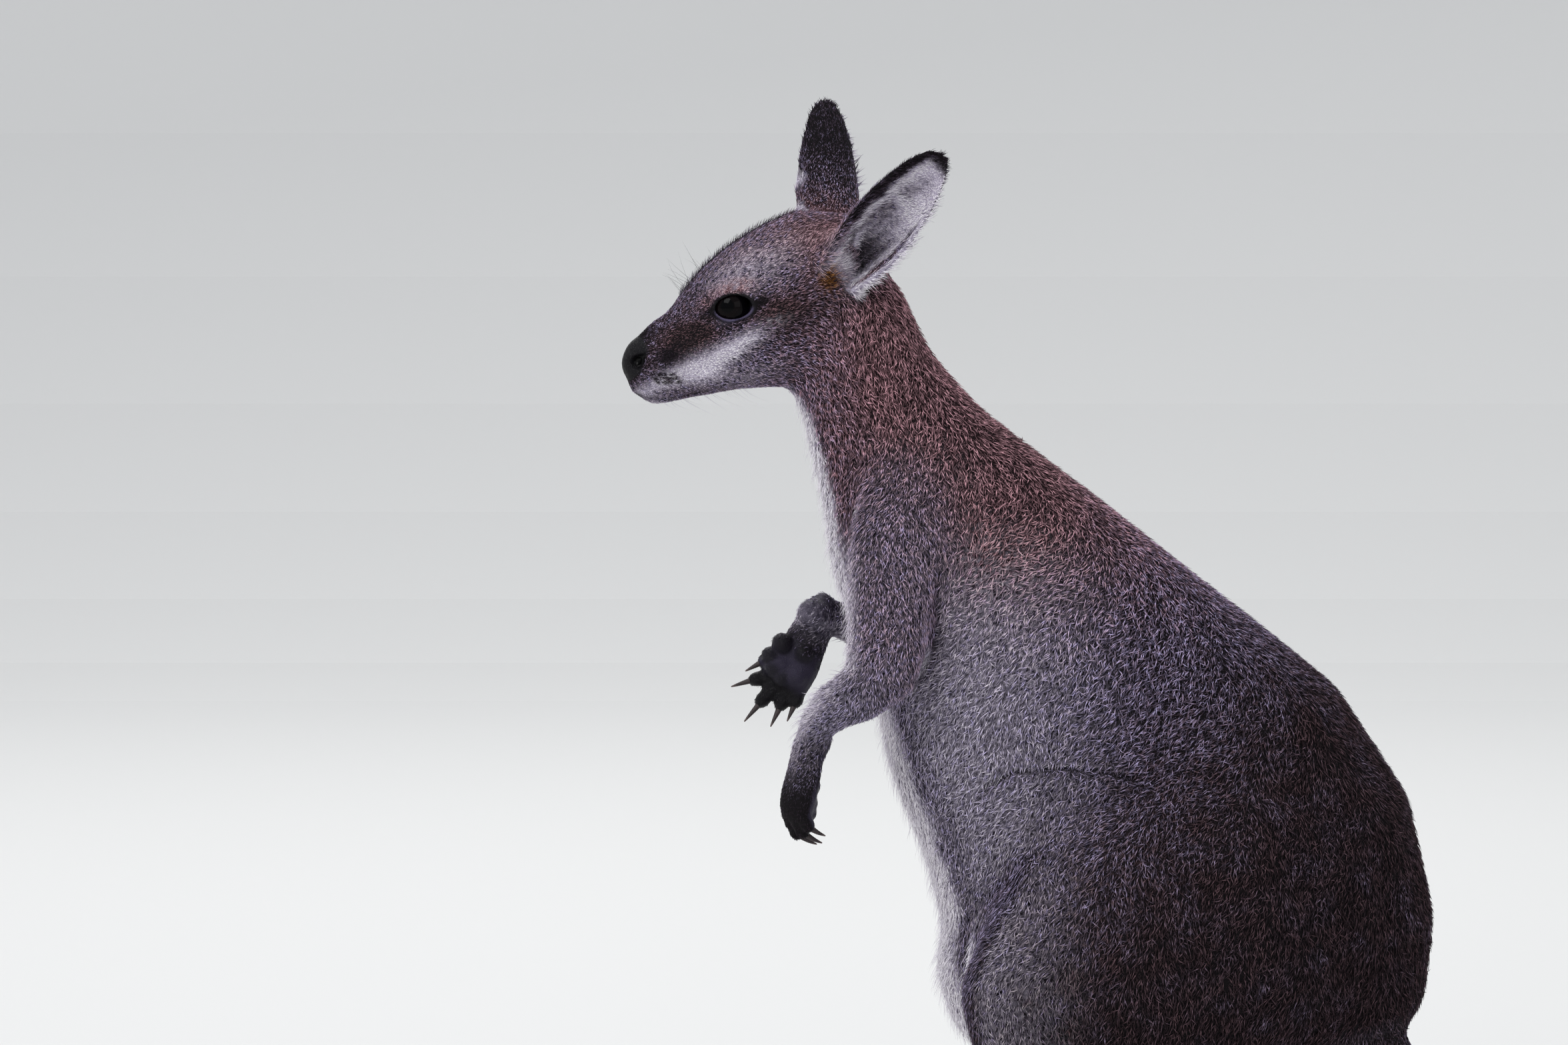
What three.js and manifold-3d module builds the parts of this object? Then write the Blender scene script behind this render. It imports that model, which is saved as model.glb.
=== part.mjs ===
// A red-necked wallaby, life size, sitting up on its long hind feet and tail with its arms hanging.
// Millimetres. It faces -X, its left side is -Y and +Z is up. The solids reach out to the tips of its coat.

import * as THREE from "three";
import { mergeVertices } from "three/addons/utils/BufferGeometryUtils.js";
import Module from "manifold-3d";

const wasm = await Module();
wasm.setup();

// ---------------------------------------------------------------- driving dimensions

const GAP = 0.3; // between neighbouring pieces
const LEFT = -1; // sides, as signs of Y
const RIGHT = 1;
const ACROSS = new THREE.Vector3(0, 1, 0);

// The head is laid out from the tip of the nose: "along" towards the nape, "up" square to that.
const NOSE_TIP = new THREE.Vector3(-273, 0, 496);
const HEAD_PITCH = THREE.MathUtils.degToRad(19);

const EYE_RADIUS = 10.5;
const EYE = { along: 65, up: 9.4, out: 20 };

const EAR_LENGTH = 91.5;
const EAR_HALF_WIDTH = 17;
const EAR_THICKNESS = 3.6;
const EARS = {
  l: { base: [-158, -22, 546], tip: [-100.5, -57, 611], opening: [0.1, -1, -0.2] },
  r: { base: [-156, 22, 547], tip: [-166.5, 48, 634.5], opening: [-0.5, 1, 0.1] },
};

// Each hand hangs from its wrist: where the fingers point, where the palm faces, how far the fingers curl.
const HANDS = {
  l: { side: LEFT, wrist: [-171.5, -43, 297], fingers: [-0.26, 0.05, -0.97], palm: [0.85, 0.5, -0.2], curl: 62 },
  r: { side: RIGHT, wrist: [-167.5, 40, 354.5], fingers: [-0.5, -0.05, -0.866], palm: [-0.1, -1, 0.1], curl: 8 },
};

const FOOT_SINK = 1.8; // how far soles and tail are pressed flat by the floor
const CLAW_TIP_RADIUS = 0.5;

// ---------------------------------------------------------------- stations of the body
// Each form is swept through stations; its own rows say where each is and its half-depth and half-width there.

// along, up, half-height, half-width
const SKULL = [
  [5.5, -4.5, 10.5, 9],
  [12, -6.5, 15.7, 12.3],
  [22, -7.5, 20, 14.5],
  [36, -4.5, 23, 17],
  [50, 0.5, 27, 22],
  [64, 5, 31, 28.5],
  [80, 8, 34, 33],
  [98, 11.5, 34.5, 34.5],
  [114, 14.5, 33, 33],
  [127, 13, 28, 29],
];
const JAW = [
  [6.5, -19.5, 5.5, 7],
  [20, -23.5, 7.5, 10],
  [36, -24.5, 9.5, 13],
  [54, -24, 12.5, 17.5],
  [72, -24, 18, 24],
  [92, -22, 23, 29],
  [108, -18, 22, 26],
];
const CHEEKS = [
  [46, -11, 11, 18.5],
  [64, -10, 17, 25.5],
  [84, -8, 20, 30.5],
  [102, -5, 20, 31],
  [116, -1, 17, 28],
];

// x, z, half-depth, half-width
const TRUNK = [
  [-158, 520, 39.5, 32],
  [-142.5, 484, 40.5, 34],
  [-125, 450, 50, 41],
  [-106.5, 414, 66, 51],
  [-77.5, 376, 79, 62],
  [-50, 331, 98.5, 72],
  [-23, 293, 111, 81],
  [4, 257, 125.5, 87],
  [22, 220, 135.5, 89],
  [29, 182, 137, 86],
  [31, 143, 129, 76],
  [32, 118, 104, 60],
];
const NECK_FOOT = { x: -131, z: 464, lean: 0.5 }; // where the neck ends, and how far its cut leans forward

// x, distance from the middle, z, half-depth, half-width
const UPPER_ARMS = {
  l: [
    [-112, 34, 440, 30, 14],
    [-127, 54, 403, 29, 17],
    [-132, 65, 368, 25.5, 18.5],
    [-132, 70, 346, 24, 19],
    [-130, 71, 334, 19, 17],
  ],
  r: [
    [-108, 34, 440, 30, 14],
    [-118, 54, 403, 29, 17],
    [-113, 68, 368, 25.5, 18.5],
    [-108, 76, 345, 23, 19],
    [-106, 78, 334, 18, 17],
  ],
};
const FOREARMS = {
  l: [
    [-132, 71, 333, 18, 17],
    [-148, 67, 323, 17, 16],
    [-160, 59, 315.5, 14, 14],
    [-167.5, 51, 307, 11.5, 12],
    [-170.5, 45, 300, 10.5, 11],
    [-171.5, 43, 295, 10, 11],
  ],
  r: [
    [-106, 78, 334, 18, 17],
    [-122, 71, 339, 17, 16],
    [-138, 60, 345, 14, 14],
    [-152, 50, 350.5, 12, 12],
    [-162, 44, 354, 10.5, 11],
    [-167, 40, 354, 9.5, 10.5],
  ],
};
const THIGH = [
  [96, 44, 205, 62, 40],
  [62, 58, 205, 80, 47],
  [20, 66, 196, 86, 46],
  [-22, 70, 184, 74, 41],
  [-52, 72, 170, 49, 33],
  [-67, 72, 162, 31, 26],
];
const SHIN = [
  [-60, 72, 148, 30, 26],
  [-30, 70, 118, 34, 25],
  [10, 66, 88, 30, 22],
  [50, 62, 62, 24, 18],
  [84, 59, 42, 19, 16],
  [106, 58, 30, 17, 15],
];
const FOOT = [
  [133, 55, 15, 13.5, 12],
  [118, 56, 21, 20, 14.5],
  [96, 57.5, 20, 19, 15],
  [60, 60, 15.5, 15.5, 14.5],
  [20, 63, 13, 13, 15],
  [-10, 65.5, 11.5, 11.5, 17],
  [-28, 67, 10, 9.5, 17],
];
// The second and third toes are slim and joined in one skin; the fourth carries the weight.
const TOES = {
  fourth: {
    rows: [
      [-18, 66, 11, 10, 10],
      [-40, 67.5, 11, 9.5, 9.5],
      [-56, 69, 9.5, 8.5, 8.5],
      [-66, 70, 7.5, 6.5, 7],
    ],
    sides: 8,
    claw: { length: 20, radius: 3.8 },
  },
  fifth: {
    rows: [
      [2, 75, 10, 8, 8],
      [-16, 80, 9, 7.5, 7.5],
      [-32, 85, 8, 7, 7],
      [-40, 87, 6.5, 5.5, 6],
    ],
    sides: 6,
    claw: { length: 14, radius: 3 },
  },
  third: {
    rows: [
      [-8, 58, 9, 6, 5],
      [-24, 58.5, 8.5, 5.5, 4.8],
      [-38, 59.5, 7, 4.5, 4.2],
    ],
    sides: 6,
    claw: { length: 9, radius: 2 },
  },
  second: {
    rows: [
      [-8, 53, 9, 6, 5],
      [-24, 52, 8, 5.5, 4.5],
      [-36, 51, 7, 4.5, 4.2],
    ],
    sides: 6,
    claw: { length: 9, radius: 2 },
  },
};

// x, y, z, half-depth, half-width: the tail leaves the rump, reaches the floor and swings a little to the right.
const TAIL = [
  [96, 0, 120, 40, 42],
  [140, 0, 92, 37, 38],
  [180, 2, 64, 34, 34],
  [222, 5, 42, 31, 31],
  [270, 12, 29.5, 29.5, 29],
  [340, 26, 25.5, 25.5, 25.5],
  [430, 46, 21, 21, 21],
  [520, 58, 17.5, 17.5, 17.5],
  [610, 56, 14.5, 14.5, 14.5],
  [680, 42, 12, 12, 12],
  [725, 28, 9.5, 9.5, 9.5],
  [738, 23, 9, 8, 8],
];
const TAIL_CUTS = [290, 520]; // x of the cuts between its three lengths

// Palm stations: along from the wrist, across towards the thumb, half-thickness, half-width.
const PALM = [
  [-5, 0, 9.5, 10.5],
  [6, 0, 9, 11],
  [18, -1, 8, 12],
  [30, -2, 7.5, 13],
  [39, -2.5, 6.5, 12.5],
];
// Each digit: across and along where it leaves the palm, how far it fans to the thumb side, its length and radius,
// and its claw's length.
const DIGITS = {
  thumb: { across: 7, along: 24, fan: 30, length: 15, radius: 3.5, claw: 10 },
  index: { across: 6, along: 39, fan: 42, length: 12, radius: 3.7, claw: 12 },
  middle: { across: 1.7, along: 41, fan: 9, length: 15.5, radius: 4.3, claw: 13.5 },
  ring: { across: -5, along: 41, fan: -6, length: 12, radius: 3.8, claw: 12 },
  little: { across: -11, along: 38, fan: -8, length: 10, radius: 3.5, claw: 10 },
};
// Bare pads under the hand: along, across, depth below the palm's middle, radius.
const HAND_PADS = [
  [-1, 1, 6, 8],
  [33, 5.5, 4, 6.5],
  [34, -6, 3.5, 6.5],
];

// ---------------------------------------------------------------- solids

const toSolid = (geometry) => {
  geometry.deleteAttribute("normal");
  geometry.deleteAttribute("uv");
  const merged = mergeVertices(geometry, 1e-4);
  return new wasm.Manifold(
    new wasm.Mesh({
      numProp: 3,
      vertProperties: new Float32Array(merged.attributes.position.array),
      triVerts: new Uint32Array(merged.index.array),
    }),
  );
};

const toGeometry = (solid) => {
  const { vertProperties, triVerts } = solid.getMesh();
  const geometry = new THREE.BufferGeometry();
  geometry.setAttribute("position", new THREE.BufferAttribute(vertProperties, 3));
  geometry.setIndex(new THREE.BufferAttribute(triVerts, 1));
  geometry.computeVertexNormals();
  return geometry;
};

/** A closed solid through rings of points, each ring with the same even count. */
function throughRings(rings) {
  const count = rings[0].length;
  const last = (rings.length - 1) * count;
  const faces = [];
  for (let ring = 0; ring < last; ring += count) {
    for (let k = 0; k < count; k++) {
      const next = (k + 1) % count;
      faces.push(ring + k, ring + next, ring + count + next);
      faces.push(ring + k, ring + count + next, ring + count + k);
    }
  }
  for (let k = 0; k < count / 2 - 1; k++) {
    const [a, b, c, d] = [k, k + 1, count - 2 - k, count - 1 - k];
    faces.push(a, c, b, a, d, c);
    faces.push(last + a, last + b, last + c, last + a, last + c, last + d);
  }
  const geometry = new THREE.BufferGeometry();
  const positions = rings.flat().flatMap((p) => p.toArray());
  geometry.setAttribute("position", new THREE.Float32BufferAttribute(positions, 3));
  geometry.setIndex(faces);
  return toSolid(geometry);
}

/** Stations put between the given ones, on a Catmull-Rom curve through them. */
function between(rows, steps) {
  const out = [];
  for (let i = 0; i < rows.length - 1; i++) {
    const before = rows[Math.max(i - 1, 0)];
    const after = rows[Math.min(i + 2, rows.length - 1)];
    for (let step = 0; step < steps; step++) {
      const t = step / steps;
      out.push(rows[i].map((from, k) => {
        const to = rows[i + 1][k];
        const bend = 2 * before[k] - 5 * from + 4 * to - after[k];
        const twist = 3 * (from - to) + after[k] - before[k];
        return from + (t * (to - before[k]) + t * t * bend + t * t * t * twist) / 2;
      }));
    }
  }
  out.push(rows.at(-1));
  return out;
}

// Where the rings of a domed end lie, in degrees from the last station: on a large form and on a slim one.
const DOMES = [38, 72];
const SLIM_DOMES = [58];

/** A round form swept through stations of x, y, z, half-depth and half-width, with domed ends. */
function sweep(stations, { sides = 12, steps = 1, across = ACROSS, grow = 0, domes = DOMES } = {}) {
  const rows = between(stations, steps);
  const swell = 2 / (1 + Math.cos(Math.PI / sides)); // flat sides lie half inside and half outside the round form
  const centres = rows.map(([x, y, z]) => new THREE.Vector3(x, y, z));
  const ways = centres.map((_, i) => {
    const from = centres[Math.max(i - 1, 0)];
    return centres[Math.min(i + 1, rows.length - 1)].clone().sub(from).normalize();
  });
  const ring = (i, size, ahead) => {
    const wide = across.clone().addScaledVector(ways[i], -across.dot(ways[i])).normalize();
    const deep = new THREE.Vector3().crossVectors(wide, ways[i]);
    const centre = centres[i].clone().addScaledVector(ways[i], ahead);
    return Array.from({ length: sides }, (_, k) => {
      const turn = (2 * Math.PI * (k + 0.5)) / sides;
      return centre.clone()
        .addScaledVector(deep, (rows[i][3] * swell + grow) * size * Math.cos(turn))
        .addScaledVector(wide, (rows[i][4] * swell + grow) * size * Math.sin(turn));
    });
  };
  const dome = (i, sign) => domes.map((degrees) => {
    const angle = THREE.MathUtils.degToRad(degrees);
    const reach = Math.min(rows[i][3], rows[i][4]) + grow;
    return ring(i, Math.cos(angle), sign * reach * Math.sin(angle));
  });
  const last = rows.length - 1;
  return throughRings([...dome(0, -1).reverse(), ...rows.map((_, i) => ring(i, 1, 0)), ...dome(last, 1)]);
}

function ball(centre, radius, sides = 8) {
  const geometry = new THREE.SphereGeometry(radius, sides, Math.round(sides * 0.6));
  geometry.translate(centre.x, centre.y, centre.z);
  return toSolid(geometry);
}

/** A block that holds everything on one side of a plane, or a thin slab along it. */
function block(point, normal, thickness, size = 2000) {
  const geometry = new THREE.BoxGeometry(size, size, thickness);
  const turn = new THREE.Quaternion().setFromUnitVectors(new THREE.Vector3(0, 0, 1), normal.clone().normalize());
  geometry.applyQuaternion(turn);
  geometry.translate(point.x, point.y, point.z);
  return toSolid(geometry);
}

const UNDER_FLOOR = block(new THREE.Vector3(0, 0, -500 + FOOT_SINK), new THREE.Vector3(0, 0, 1), 1000);

const joined = (solids) => solids.reduce((whole, piece) => whole.add(piece));
const largest = (solid) => solid.decompose().sort((a, b) => b.volume() - a.volume())[0];

// ---------------------------------------------------------------- the forms, each as a function of how far it is grown

const headPoint = (along, up, out = 0) => new THREE.Vector3(
  NOSE_TIP.x + along * Math.cos(HEAD_PITCH) - up * Math.sin(HEAD_PITCH),
  out,
  NOSE_TIP.z + along * Math.sin(HEAD_PITCH) + up * Math.cos(HEAD_PITCH),
);
const headRows = (rows) => rows.map(([along, up, high, wide]) => [...headPoint(along, up).toArray(), high, wide]);
const onSide = (rows, side) => rows.map(([x, out, z, deep, wide]) => [x, side * out, z, deep, wide]);

const wholeHead = (grow) => joined([
  sweep(headRows(SKULL), { sides: 22, grow }),
  sweep(headRows(CHEEKS), { sides: 14, grow }),
  sweep(headRows(JAW), { sides: 12, grow }),
]);

const eyeball = (side, grow) => ball(headPoint(EYE.along, EYE.up, side * EYE.out), EYE_RADIUS + grow, 12);

const neckAndTrunk = (grow) => sweep(
  TRUNK.map(([x, z, deep, wide]) => [x, 0, z, deep, wide]),
  { sides: 22, grow },
);

const tail = (grow) => sweep(TAIL, { sides: 12, steps: 1, grow }).subtract(UNDER_FLOOR);

const upperArm = (name, side, grow) => sweep(onSide(UPPER_ARMS[name], side), { sides: 10, grow });
const forearm = (name, side, grow) => sweep(onSide(FOREARMS[name], side), { sides: 10, domes: SLIM_DOMES, grow });
const thigh = (side, grow) => sweep(onSide(THIGH, side), { sides: 14, grow });
const shin = (side, grow) => sweep(onSide(SHIN, side), { sides: 10, grow });

const foot = (side, grow) => joined([
  sweep(onSide(FOOT, side), { sides: 10, domes: SLIM_DOMES, grow }),
  ...Object.values(TOES).map(({ rows, sides }) => sweep(onSide(rows, side), { sides, domes: SLIM_DOMES, grow })),
]).subtract(UNDER_FLOOR);

/** A toe's claw leaves the toe's upper half and comes down to the floor. */
function toeClaw(side, { rows, claw }) {
  const [x, out, z] = rows.at(-1);
  const back = 4;
  const drop = z - FOOT_SINK - 1.6;
  const stations = [0, 0.4, 0.75, 1].map((t) => [
    x + back - t * (claw.length + back),
    out + t,
    z + 1 - t * t * drop,
    claw.radius * (1 - t) + CLAW_TIP_RADIUS,
    claw.radius * 0.8 * (1 - t) + CLAW_TIP_RADIUS,
  ]);
  return sweep(onSide(stations, side), { sides: 6, domes: SLIM_DOMES });
}

/** The hand's own frame: fingers, palm and the way across to the thumb. */
function handFrame({ side, wrist, fingers, palm }) {
  const down = new THREE.Vector3(...fingers).normalize();
  const under = new THREE.Vector3(...palm);
  under.addScaledVector(down, -under.dot(down)).normalize();
  const thumbward = new THREE.Vector3().crossVectors(down, under).multiplyScalar(side);
  const at = (along, across, below) => new THREE.Vector3(...wrist)
    .addScaledVector(down, along)
    .addScaledVector(thumbward, across)
    .addScaledVector(under, below);
  return { down, under, thumbward, at };
}

/** Stations along one digit and along its claw: it bends towards the palm joint by joint. */
function digitStations(spec, { across, along, fan, length, radius, claw }) {
  const { down, under, thumbward, at } = handFrame(spec);
  const turn = THREE.MathUtils.degToRad(fan);
  const out = down.clone().multiplyScalar(Math.cos(turn)).addScaledVector(thumbward, Math.sin(turn));
  const bent = (degrees) => {
    const angle = THREE.MathUtils.degToRad(degrees);
    return out.clone().multiplyScalar(Math.cos(angle)).addScaledVector(under, Math.sin(angle));
  };
  const point = at(along, across, 0).addScaledVector(out, -7);
  const finger = [];
  let bend = 0;
  for (const [step, swell, curl] of [[7, 1, 0.45], [length * 0.45, 1, 0.3], [length * 0.55, 0.95, 0]]) {
    finger.push([...point.toArray(), radius * swell, radius * swell]);
    point.addScaledVector(bent(bend), step);
    bend += spec.curl * curl;
  }
  finger.push([...point.toArray(), radius * 0.62, radius * 0.66]);
  const nail = [];
  point.addScaledVector(bent(bend), -3);
  for (let k = 0; k <= 3; k++) {
    const slim = 1 - k / 3;
    nail.push([...point.toArray(), 1.5 * slim + CLAW_TIP_RADIUS, 1.2 * slim + CLAW_TIP_RADIUS]);
    bend += spec.curl / 9 + 4;
    point.addScaledVector(bent(bend), (claw + 3) / 3);
  }
  return { finger, nail };
}

function hand(spec, grow) {
  const { thumbward, at } = handFrame(spec);
  const palm = PALM.map(([along, across, thick, wide]) => [...at(along, across, 0).toArray(), thick, wide]);
  return joined([
    sweep(palm, { sides: 10, domes: SLIM_DOMES, across: thumbward, grow }),
    ...Object.values(DIGITS).map((digit) =>
      sweep(digitStations(spec, digit).finger, { sides: 6, domes: SLIM_DOMES, across: thumbward, grow })),
    ...HAND_PADS.map(([along, across, below, radius]) => ball(at(along, across, below), radius + grow)),
  ]);
}

/** An ear is a leaf rolled into a cup: round arcs about its axis that open towards the tip. */
function ear({ base, tip, opening }, grow) {
  const root = new THREE.Vector3(...base);
  const axis = new THREE.Vector3(...tip).sub(root).normalize();
  const front = new THREE.Vector3(...opening);
  front.addScaledVector(axis, -front.dot(axis)).normalize();
  const wide = new THREE.Vector3().crossVectors(axis, front);
  const rings = EAR_STATIONS.map(([share, half, roll]) => {
    const spread = THREE.MathUtils.degToRad(roll);
    const radius = (EAR_HALF_WIDTH * half) / Math.sin(Math.min(spread, Math.PI / 2));
    const deepest = radius * EAR_AXIS_DEPTH;
    const arc = (reach, direction) => Array.from({ length: EAR_ARC_POINTS }, (_, k) => {
      const turn = direction * spread * ((2 * k) / (EAR_ARC_POINTS - 1) - 1) * (1 + grow / 40);
      return root.clone()
        .addScaledVector(axis, share * EAR_LENGTH)
        .addScaledVector(wide, reach * Math.sin(turn))
        .addScaledVector(front, deepest - reach * Math.cos(turn));
    });
    const shell = (EAR_THICKNESS / 2) * (1.25 - 0.55 * share) + grow;
    return [...arc(radius + shell, -1), ...arc(radius - shell, 1)];
  });
  return throughRings(rings);
}
const EAR_ARC_POINTS = 8;
const EAR_AXIS_DEPTH = 0.55; // how much of the cup's radius lies behind the line from base to tip
// Share of the length, share of the half-width, and how far the rim rolls round from the back, in degrees.
const EAR_STATIONS = [
  [0, 0.72, 130],
  [0.14, 0.86, 118],
  [0.3, 0.98, 104],
  [0.46, 1, 90],
  [0.62, 0.95, 76],
  [0.76, 0.81, 64],
  [0.87, 0.63, 54],
  [0.95, 0.41, 46],
  [0.995, 0.16, 42],
];

// ---------------------------------------------------------------- materials

const finish = (color, roughness) => new THREE.MeshStandardMaterial({ color, roughness, metalness: 0 });
const COLOURS = {
  coat: () => finish("#6f6460", 0.9),
  neck: () => finish("#76544a", 0.9),
  paw: () => finish("#2f2a2b", 0.8),
  claw: () => finish("#231f20", 0.4),
  eye: () => finish("#120d0b", 0.05),
};

// ---------------------------------------------------------------- the model

const animal = new THREE.Group();

/** Adds one piece, less what its grown neighbours take up. */
function add(name, colour, solid, neighbours = []) {
  const clear = neighbours.reduce((rest, neighbour) => rest.subtract(neighbour), solid);
  const mesh = new THREE.Mesh(toGeometry(largest(clear)), COLOURS[colour]());
  mesh.name = name;
  animal.add(mesh);
}

const SIDES = { l: LEFT, r: RIGHT };
const headTaken = wholeHead(GAP);
const trunkTaken = neckAndTrunk(GAP);

add("head", "coat", wholeHead(0), [eyeball(LEFT, GAP), eyeball(RIGHT, GAP)]);
for (const [name, side] of Object.entries(SIDES)) {
  add("eye_" + name, "eye", eyeball(side, 0));
  add("ear_" + name, "coat", ear(EARS[name], 0), [headTaken, trunkTaken]);
}

const neckCut = block(
  new THREE.Vector3(NECK_FOOT.x, 0, NECK_FOOT.z),
  new THREE.Vector3(-NECK_FOOT.lean, 0, 1),
  GAP,
);
const [neck, trunk] = neckAndTrunk(0).subtract(neckCut).decompose()
  .sort((a, b) => a.volume() - b.volume());
add("neck", "neck", neck, [headTaken]);
add("trunk", "coat", trunk);

const tailCuts = TAIL_CUTS.map((x) => block(new THREE.Vector3(x, 0, 0), new THREE.Vector3(1, 0, 0), GAP));
const tailLengths = tailCuts.reduce((rest, cut) => rest.subtract(cut), tail(0)).decompose()
  .sort((a, b) => b.volume() - a.volume());
["tail_root", "tail_middle", "tail_tip"].forEach((name, i) => add(name, "coat", tailLengths[i], [trunkTaken]));

for (const [name, side] of Object.entries(SIDES)) {
  const upperArmTaken = upperArm(name, side, GAP);
  const forearmTaken = forearm(name, side, GAP);
  const handTaken = hand(HANDS[name], GAP);
  add("upper_arm_" + name, "coat", upperArm(name, side, 0), [trunkTaken]);
  add("forearm_" + name, "coat", forearm(name, side, 0), [trunkTaken, upperArmTaken]);
  add("hand_" + name, "paw", hand(HANDS[name], 0), [forearmTaken, upperArmTaken]);
  for (const [digit, spec] of Object.entries(DIGITS)) {
    const { nail } = digitStations(HANDS[name], spec);
    const { thumbward } = handFrame(HANDS[name]);
    add("claw_" + digit + "_" + name, "claw", sweep(nail, { sides: 6, domes: SLIM_DOMES, across: thumbward }), [handTaken]);
  }

  const thighTaken = thigh(side, GAP);
  const shinTaken = shin(side, GAP);
  const footTaken = foot(side, GAP);
  add("thigh_" + name, "coat", thigh(side, 0), [trunkTaken, tail(GAP)]);
  add("shin_" + name, "coat", shin(side, 0), [thighTaken, trunkTaken]);
  add("foot_" + name, "paw", foot(side, 0), [shinTaken, thighTaken, trunkTaken]);
  for (const [toe, spec] of Object.entries(TOES)) {
    add("toe_claw_" + toe + "_" + name, "claw", toeClaw(side, spec), [footTaken]);
  }
}

// The origin is the middle of the whole animal's underside.
const box = new THREE.Box3().setFromObject(animal);
const middle = box.getCenter(new THREE.Vector3());
animal.position.set(-middle.x, -middle.y, -box.min.z);

const wallaby = new THREE.Group();
wallaby.add(animal);
export default wallaby;
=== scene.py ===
"""A red-necked wallaby, life size, in its coat.

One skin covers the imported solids, and tufts of fur, eyes, claws, whiskers and lashes are pieces of their own.
Metres. It faces -X, its left side is -Y and +Z is up.
"""

import math

import bmesh
import bpy
import numpy as np
import openvdb
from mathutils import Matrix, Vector
from mathutils.bvhtree import BVHTree


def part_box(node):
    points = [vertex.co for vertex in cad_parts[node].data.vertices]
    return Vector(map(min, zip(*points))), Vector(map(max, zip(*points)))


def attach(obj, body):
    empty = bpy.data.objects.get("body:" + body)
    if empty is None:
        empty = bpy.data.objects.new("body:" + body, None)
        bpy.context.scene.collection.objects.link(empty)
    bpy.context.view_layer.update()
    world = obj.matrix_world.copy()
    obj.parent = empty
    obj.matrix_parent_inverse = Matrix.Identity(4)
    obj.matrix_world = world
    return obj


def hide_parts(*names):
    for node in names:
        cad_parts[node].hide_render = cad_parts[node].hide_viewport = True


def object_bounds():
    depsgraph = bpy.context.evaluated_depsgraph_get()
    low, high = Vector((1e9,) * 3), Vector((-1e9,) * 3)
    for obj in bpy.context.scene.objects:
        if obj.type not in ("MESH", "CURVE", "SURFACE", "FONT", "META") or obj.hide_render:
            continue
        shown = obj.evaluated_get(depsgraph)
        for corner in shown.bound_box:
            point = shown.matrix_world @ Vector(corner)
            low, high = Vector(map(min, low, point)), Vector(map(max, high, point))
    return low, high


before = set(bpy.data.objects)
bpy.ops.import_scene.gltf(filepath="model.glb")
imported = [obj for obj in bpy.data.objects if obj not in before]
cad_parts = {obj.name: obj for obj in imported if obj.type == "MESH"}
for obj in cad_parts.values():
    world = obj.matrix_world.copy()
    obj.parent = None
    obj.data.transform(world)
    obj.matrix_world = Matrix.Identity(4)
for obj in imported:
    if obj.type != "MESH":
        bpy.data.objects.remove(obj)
CAD_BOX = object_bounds()

MM = 0.001
SIDES = {"l": -1, "r": 1}

# ---------------------------------------------------------------- camera, light and floor

VIEW_DISTANCE = 6.0
VIEW_WIDTH = 0.83966  # how much of the width at the animal the camera takes in
VIEW_ELEVATION = math.radians(5)
VIEW_AIM = Vector((-0.422, 0.0, 0.407))
VIEW_FROM = Vector((0, -math.cos(VIEW_ELEVATION), math.sin(VIEW_ELEVATION)))
VIEW_END = 50  # the camera sees nothing beyond this
SENSOR = 36.0

camera = bpy.data.objects.new("camera", bpy.data.cameras.new("camera"))
camera.data.sensor_width = SENSOR
camera.data.lens = SENSOR * VIEW_DISTANCE / VIEW_WIDTH
camera.data.clip_end = VIEW_END
camera.location = VIEW_AIM + VIEW_DISTANCE * VIEW_FROM
camera.rotation_euler = (math.pi / 2 - VIEW_ELEVATION, 0, 0)
bpy.context.scene.collection.objects.link(camera)
bpy.context.scene.camera = camera
bpy.context.scene.view_settings.view_transform = "Standard"

LAMPS = {  # lamp: (power, width, place)
    "key_lamp": (50, 1.8, (-1.6, -1.7, 2.6)),
    "fill_lamp": (14, 2.2, (2.0, -2.4, 1.6)),
    "rim_lamp": (30, 1.6, (-0.6, 2.4, 2.4)),
}
LAMP_AIM = Vector((-0.1, 0, 0.3))


def soft_lamp(name, power, width, place):
    """A wide square lamp that looks at the animal."""
    lamp = bpy.data.objects.new(name, bpy.data.lights.new(name, "AREA"))
    lamp.data.energy = power
    lamp.data.size = width
    lamp.location = place
    lamp.rotation_euler = (LAMP_AIM - Vector(place)).to_track_quat("-Z", "Y").to_euler()
    bpy.context.scene.collection.objects.link(lamp)


for _name, _lamp in LAMPS.items():
    soft_lamp(_name, *_lamp)

WORLD_COLOUR, WORLD_LIGHT = (0.93, 0.95, 1.0, 1), 0.64
world = bpy.data.worlds.new("studio")
bpy.context.scene.world = world
world.use_nodes = True
studio = world.node_tree.nodes["Background"]
studio.inputs["Color"].default_value = WORLD_COLOUR
studio.inputs["Strength"].default_value = WORLD_LIGHT


def add(tree, kind, **values):
    """A shader node with its properties (lower case) or sockets (by name) set."""
    node = tree.nodes.new("ShaderNode" + kind)
    for name, value in values.items():
        socket = name.replace("_", " ")
        if hasattr(node, name) and name not in node.inputs:
            setattr(node, name, value)
        else:
            node.inputs[socket].default_value = value
    return node


def finish_of(name, **values):
    """A new material with a surface of these values: (material, its node tree, the surface)."""
    material = bpy.data.materials.new(name)
    material.use_nodes = True
    tree = material.node_tree
    tree.nodes.clear()
    surface = add(tree, "BsdfPrincipled", **values)
    tree.links.new(surface.outputs["BSDF"], add(tree, "OutputMaterial").inputs["Surface"])
    return material, tree, surface


def with_relief(tree, surface, height, **values):
    """The surface embossed by a height."""
    bump = add(tree, "Bump", **values)
    tree.links.new(height, bump.inputs["Height"])
    tree.links.new(bump.outputs["Normal"], surface.inputs["Normal"])


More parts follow.
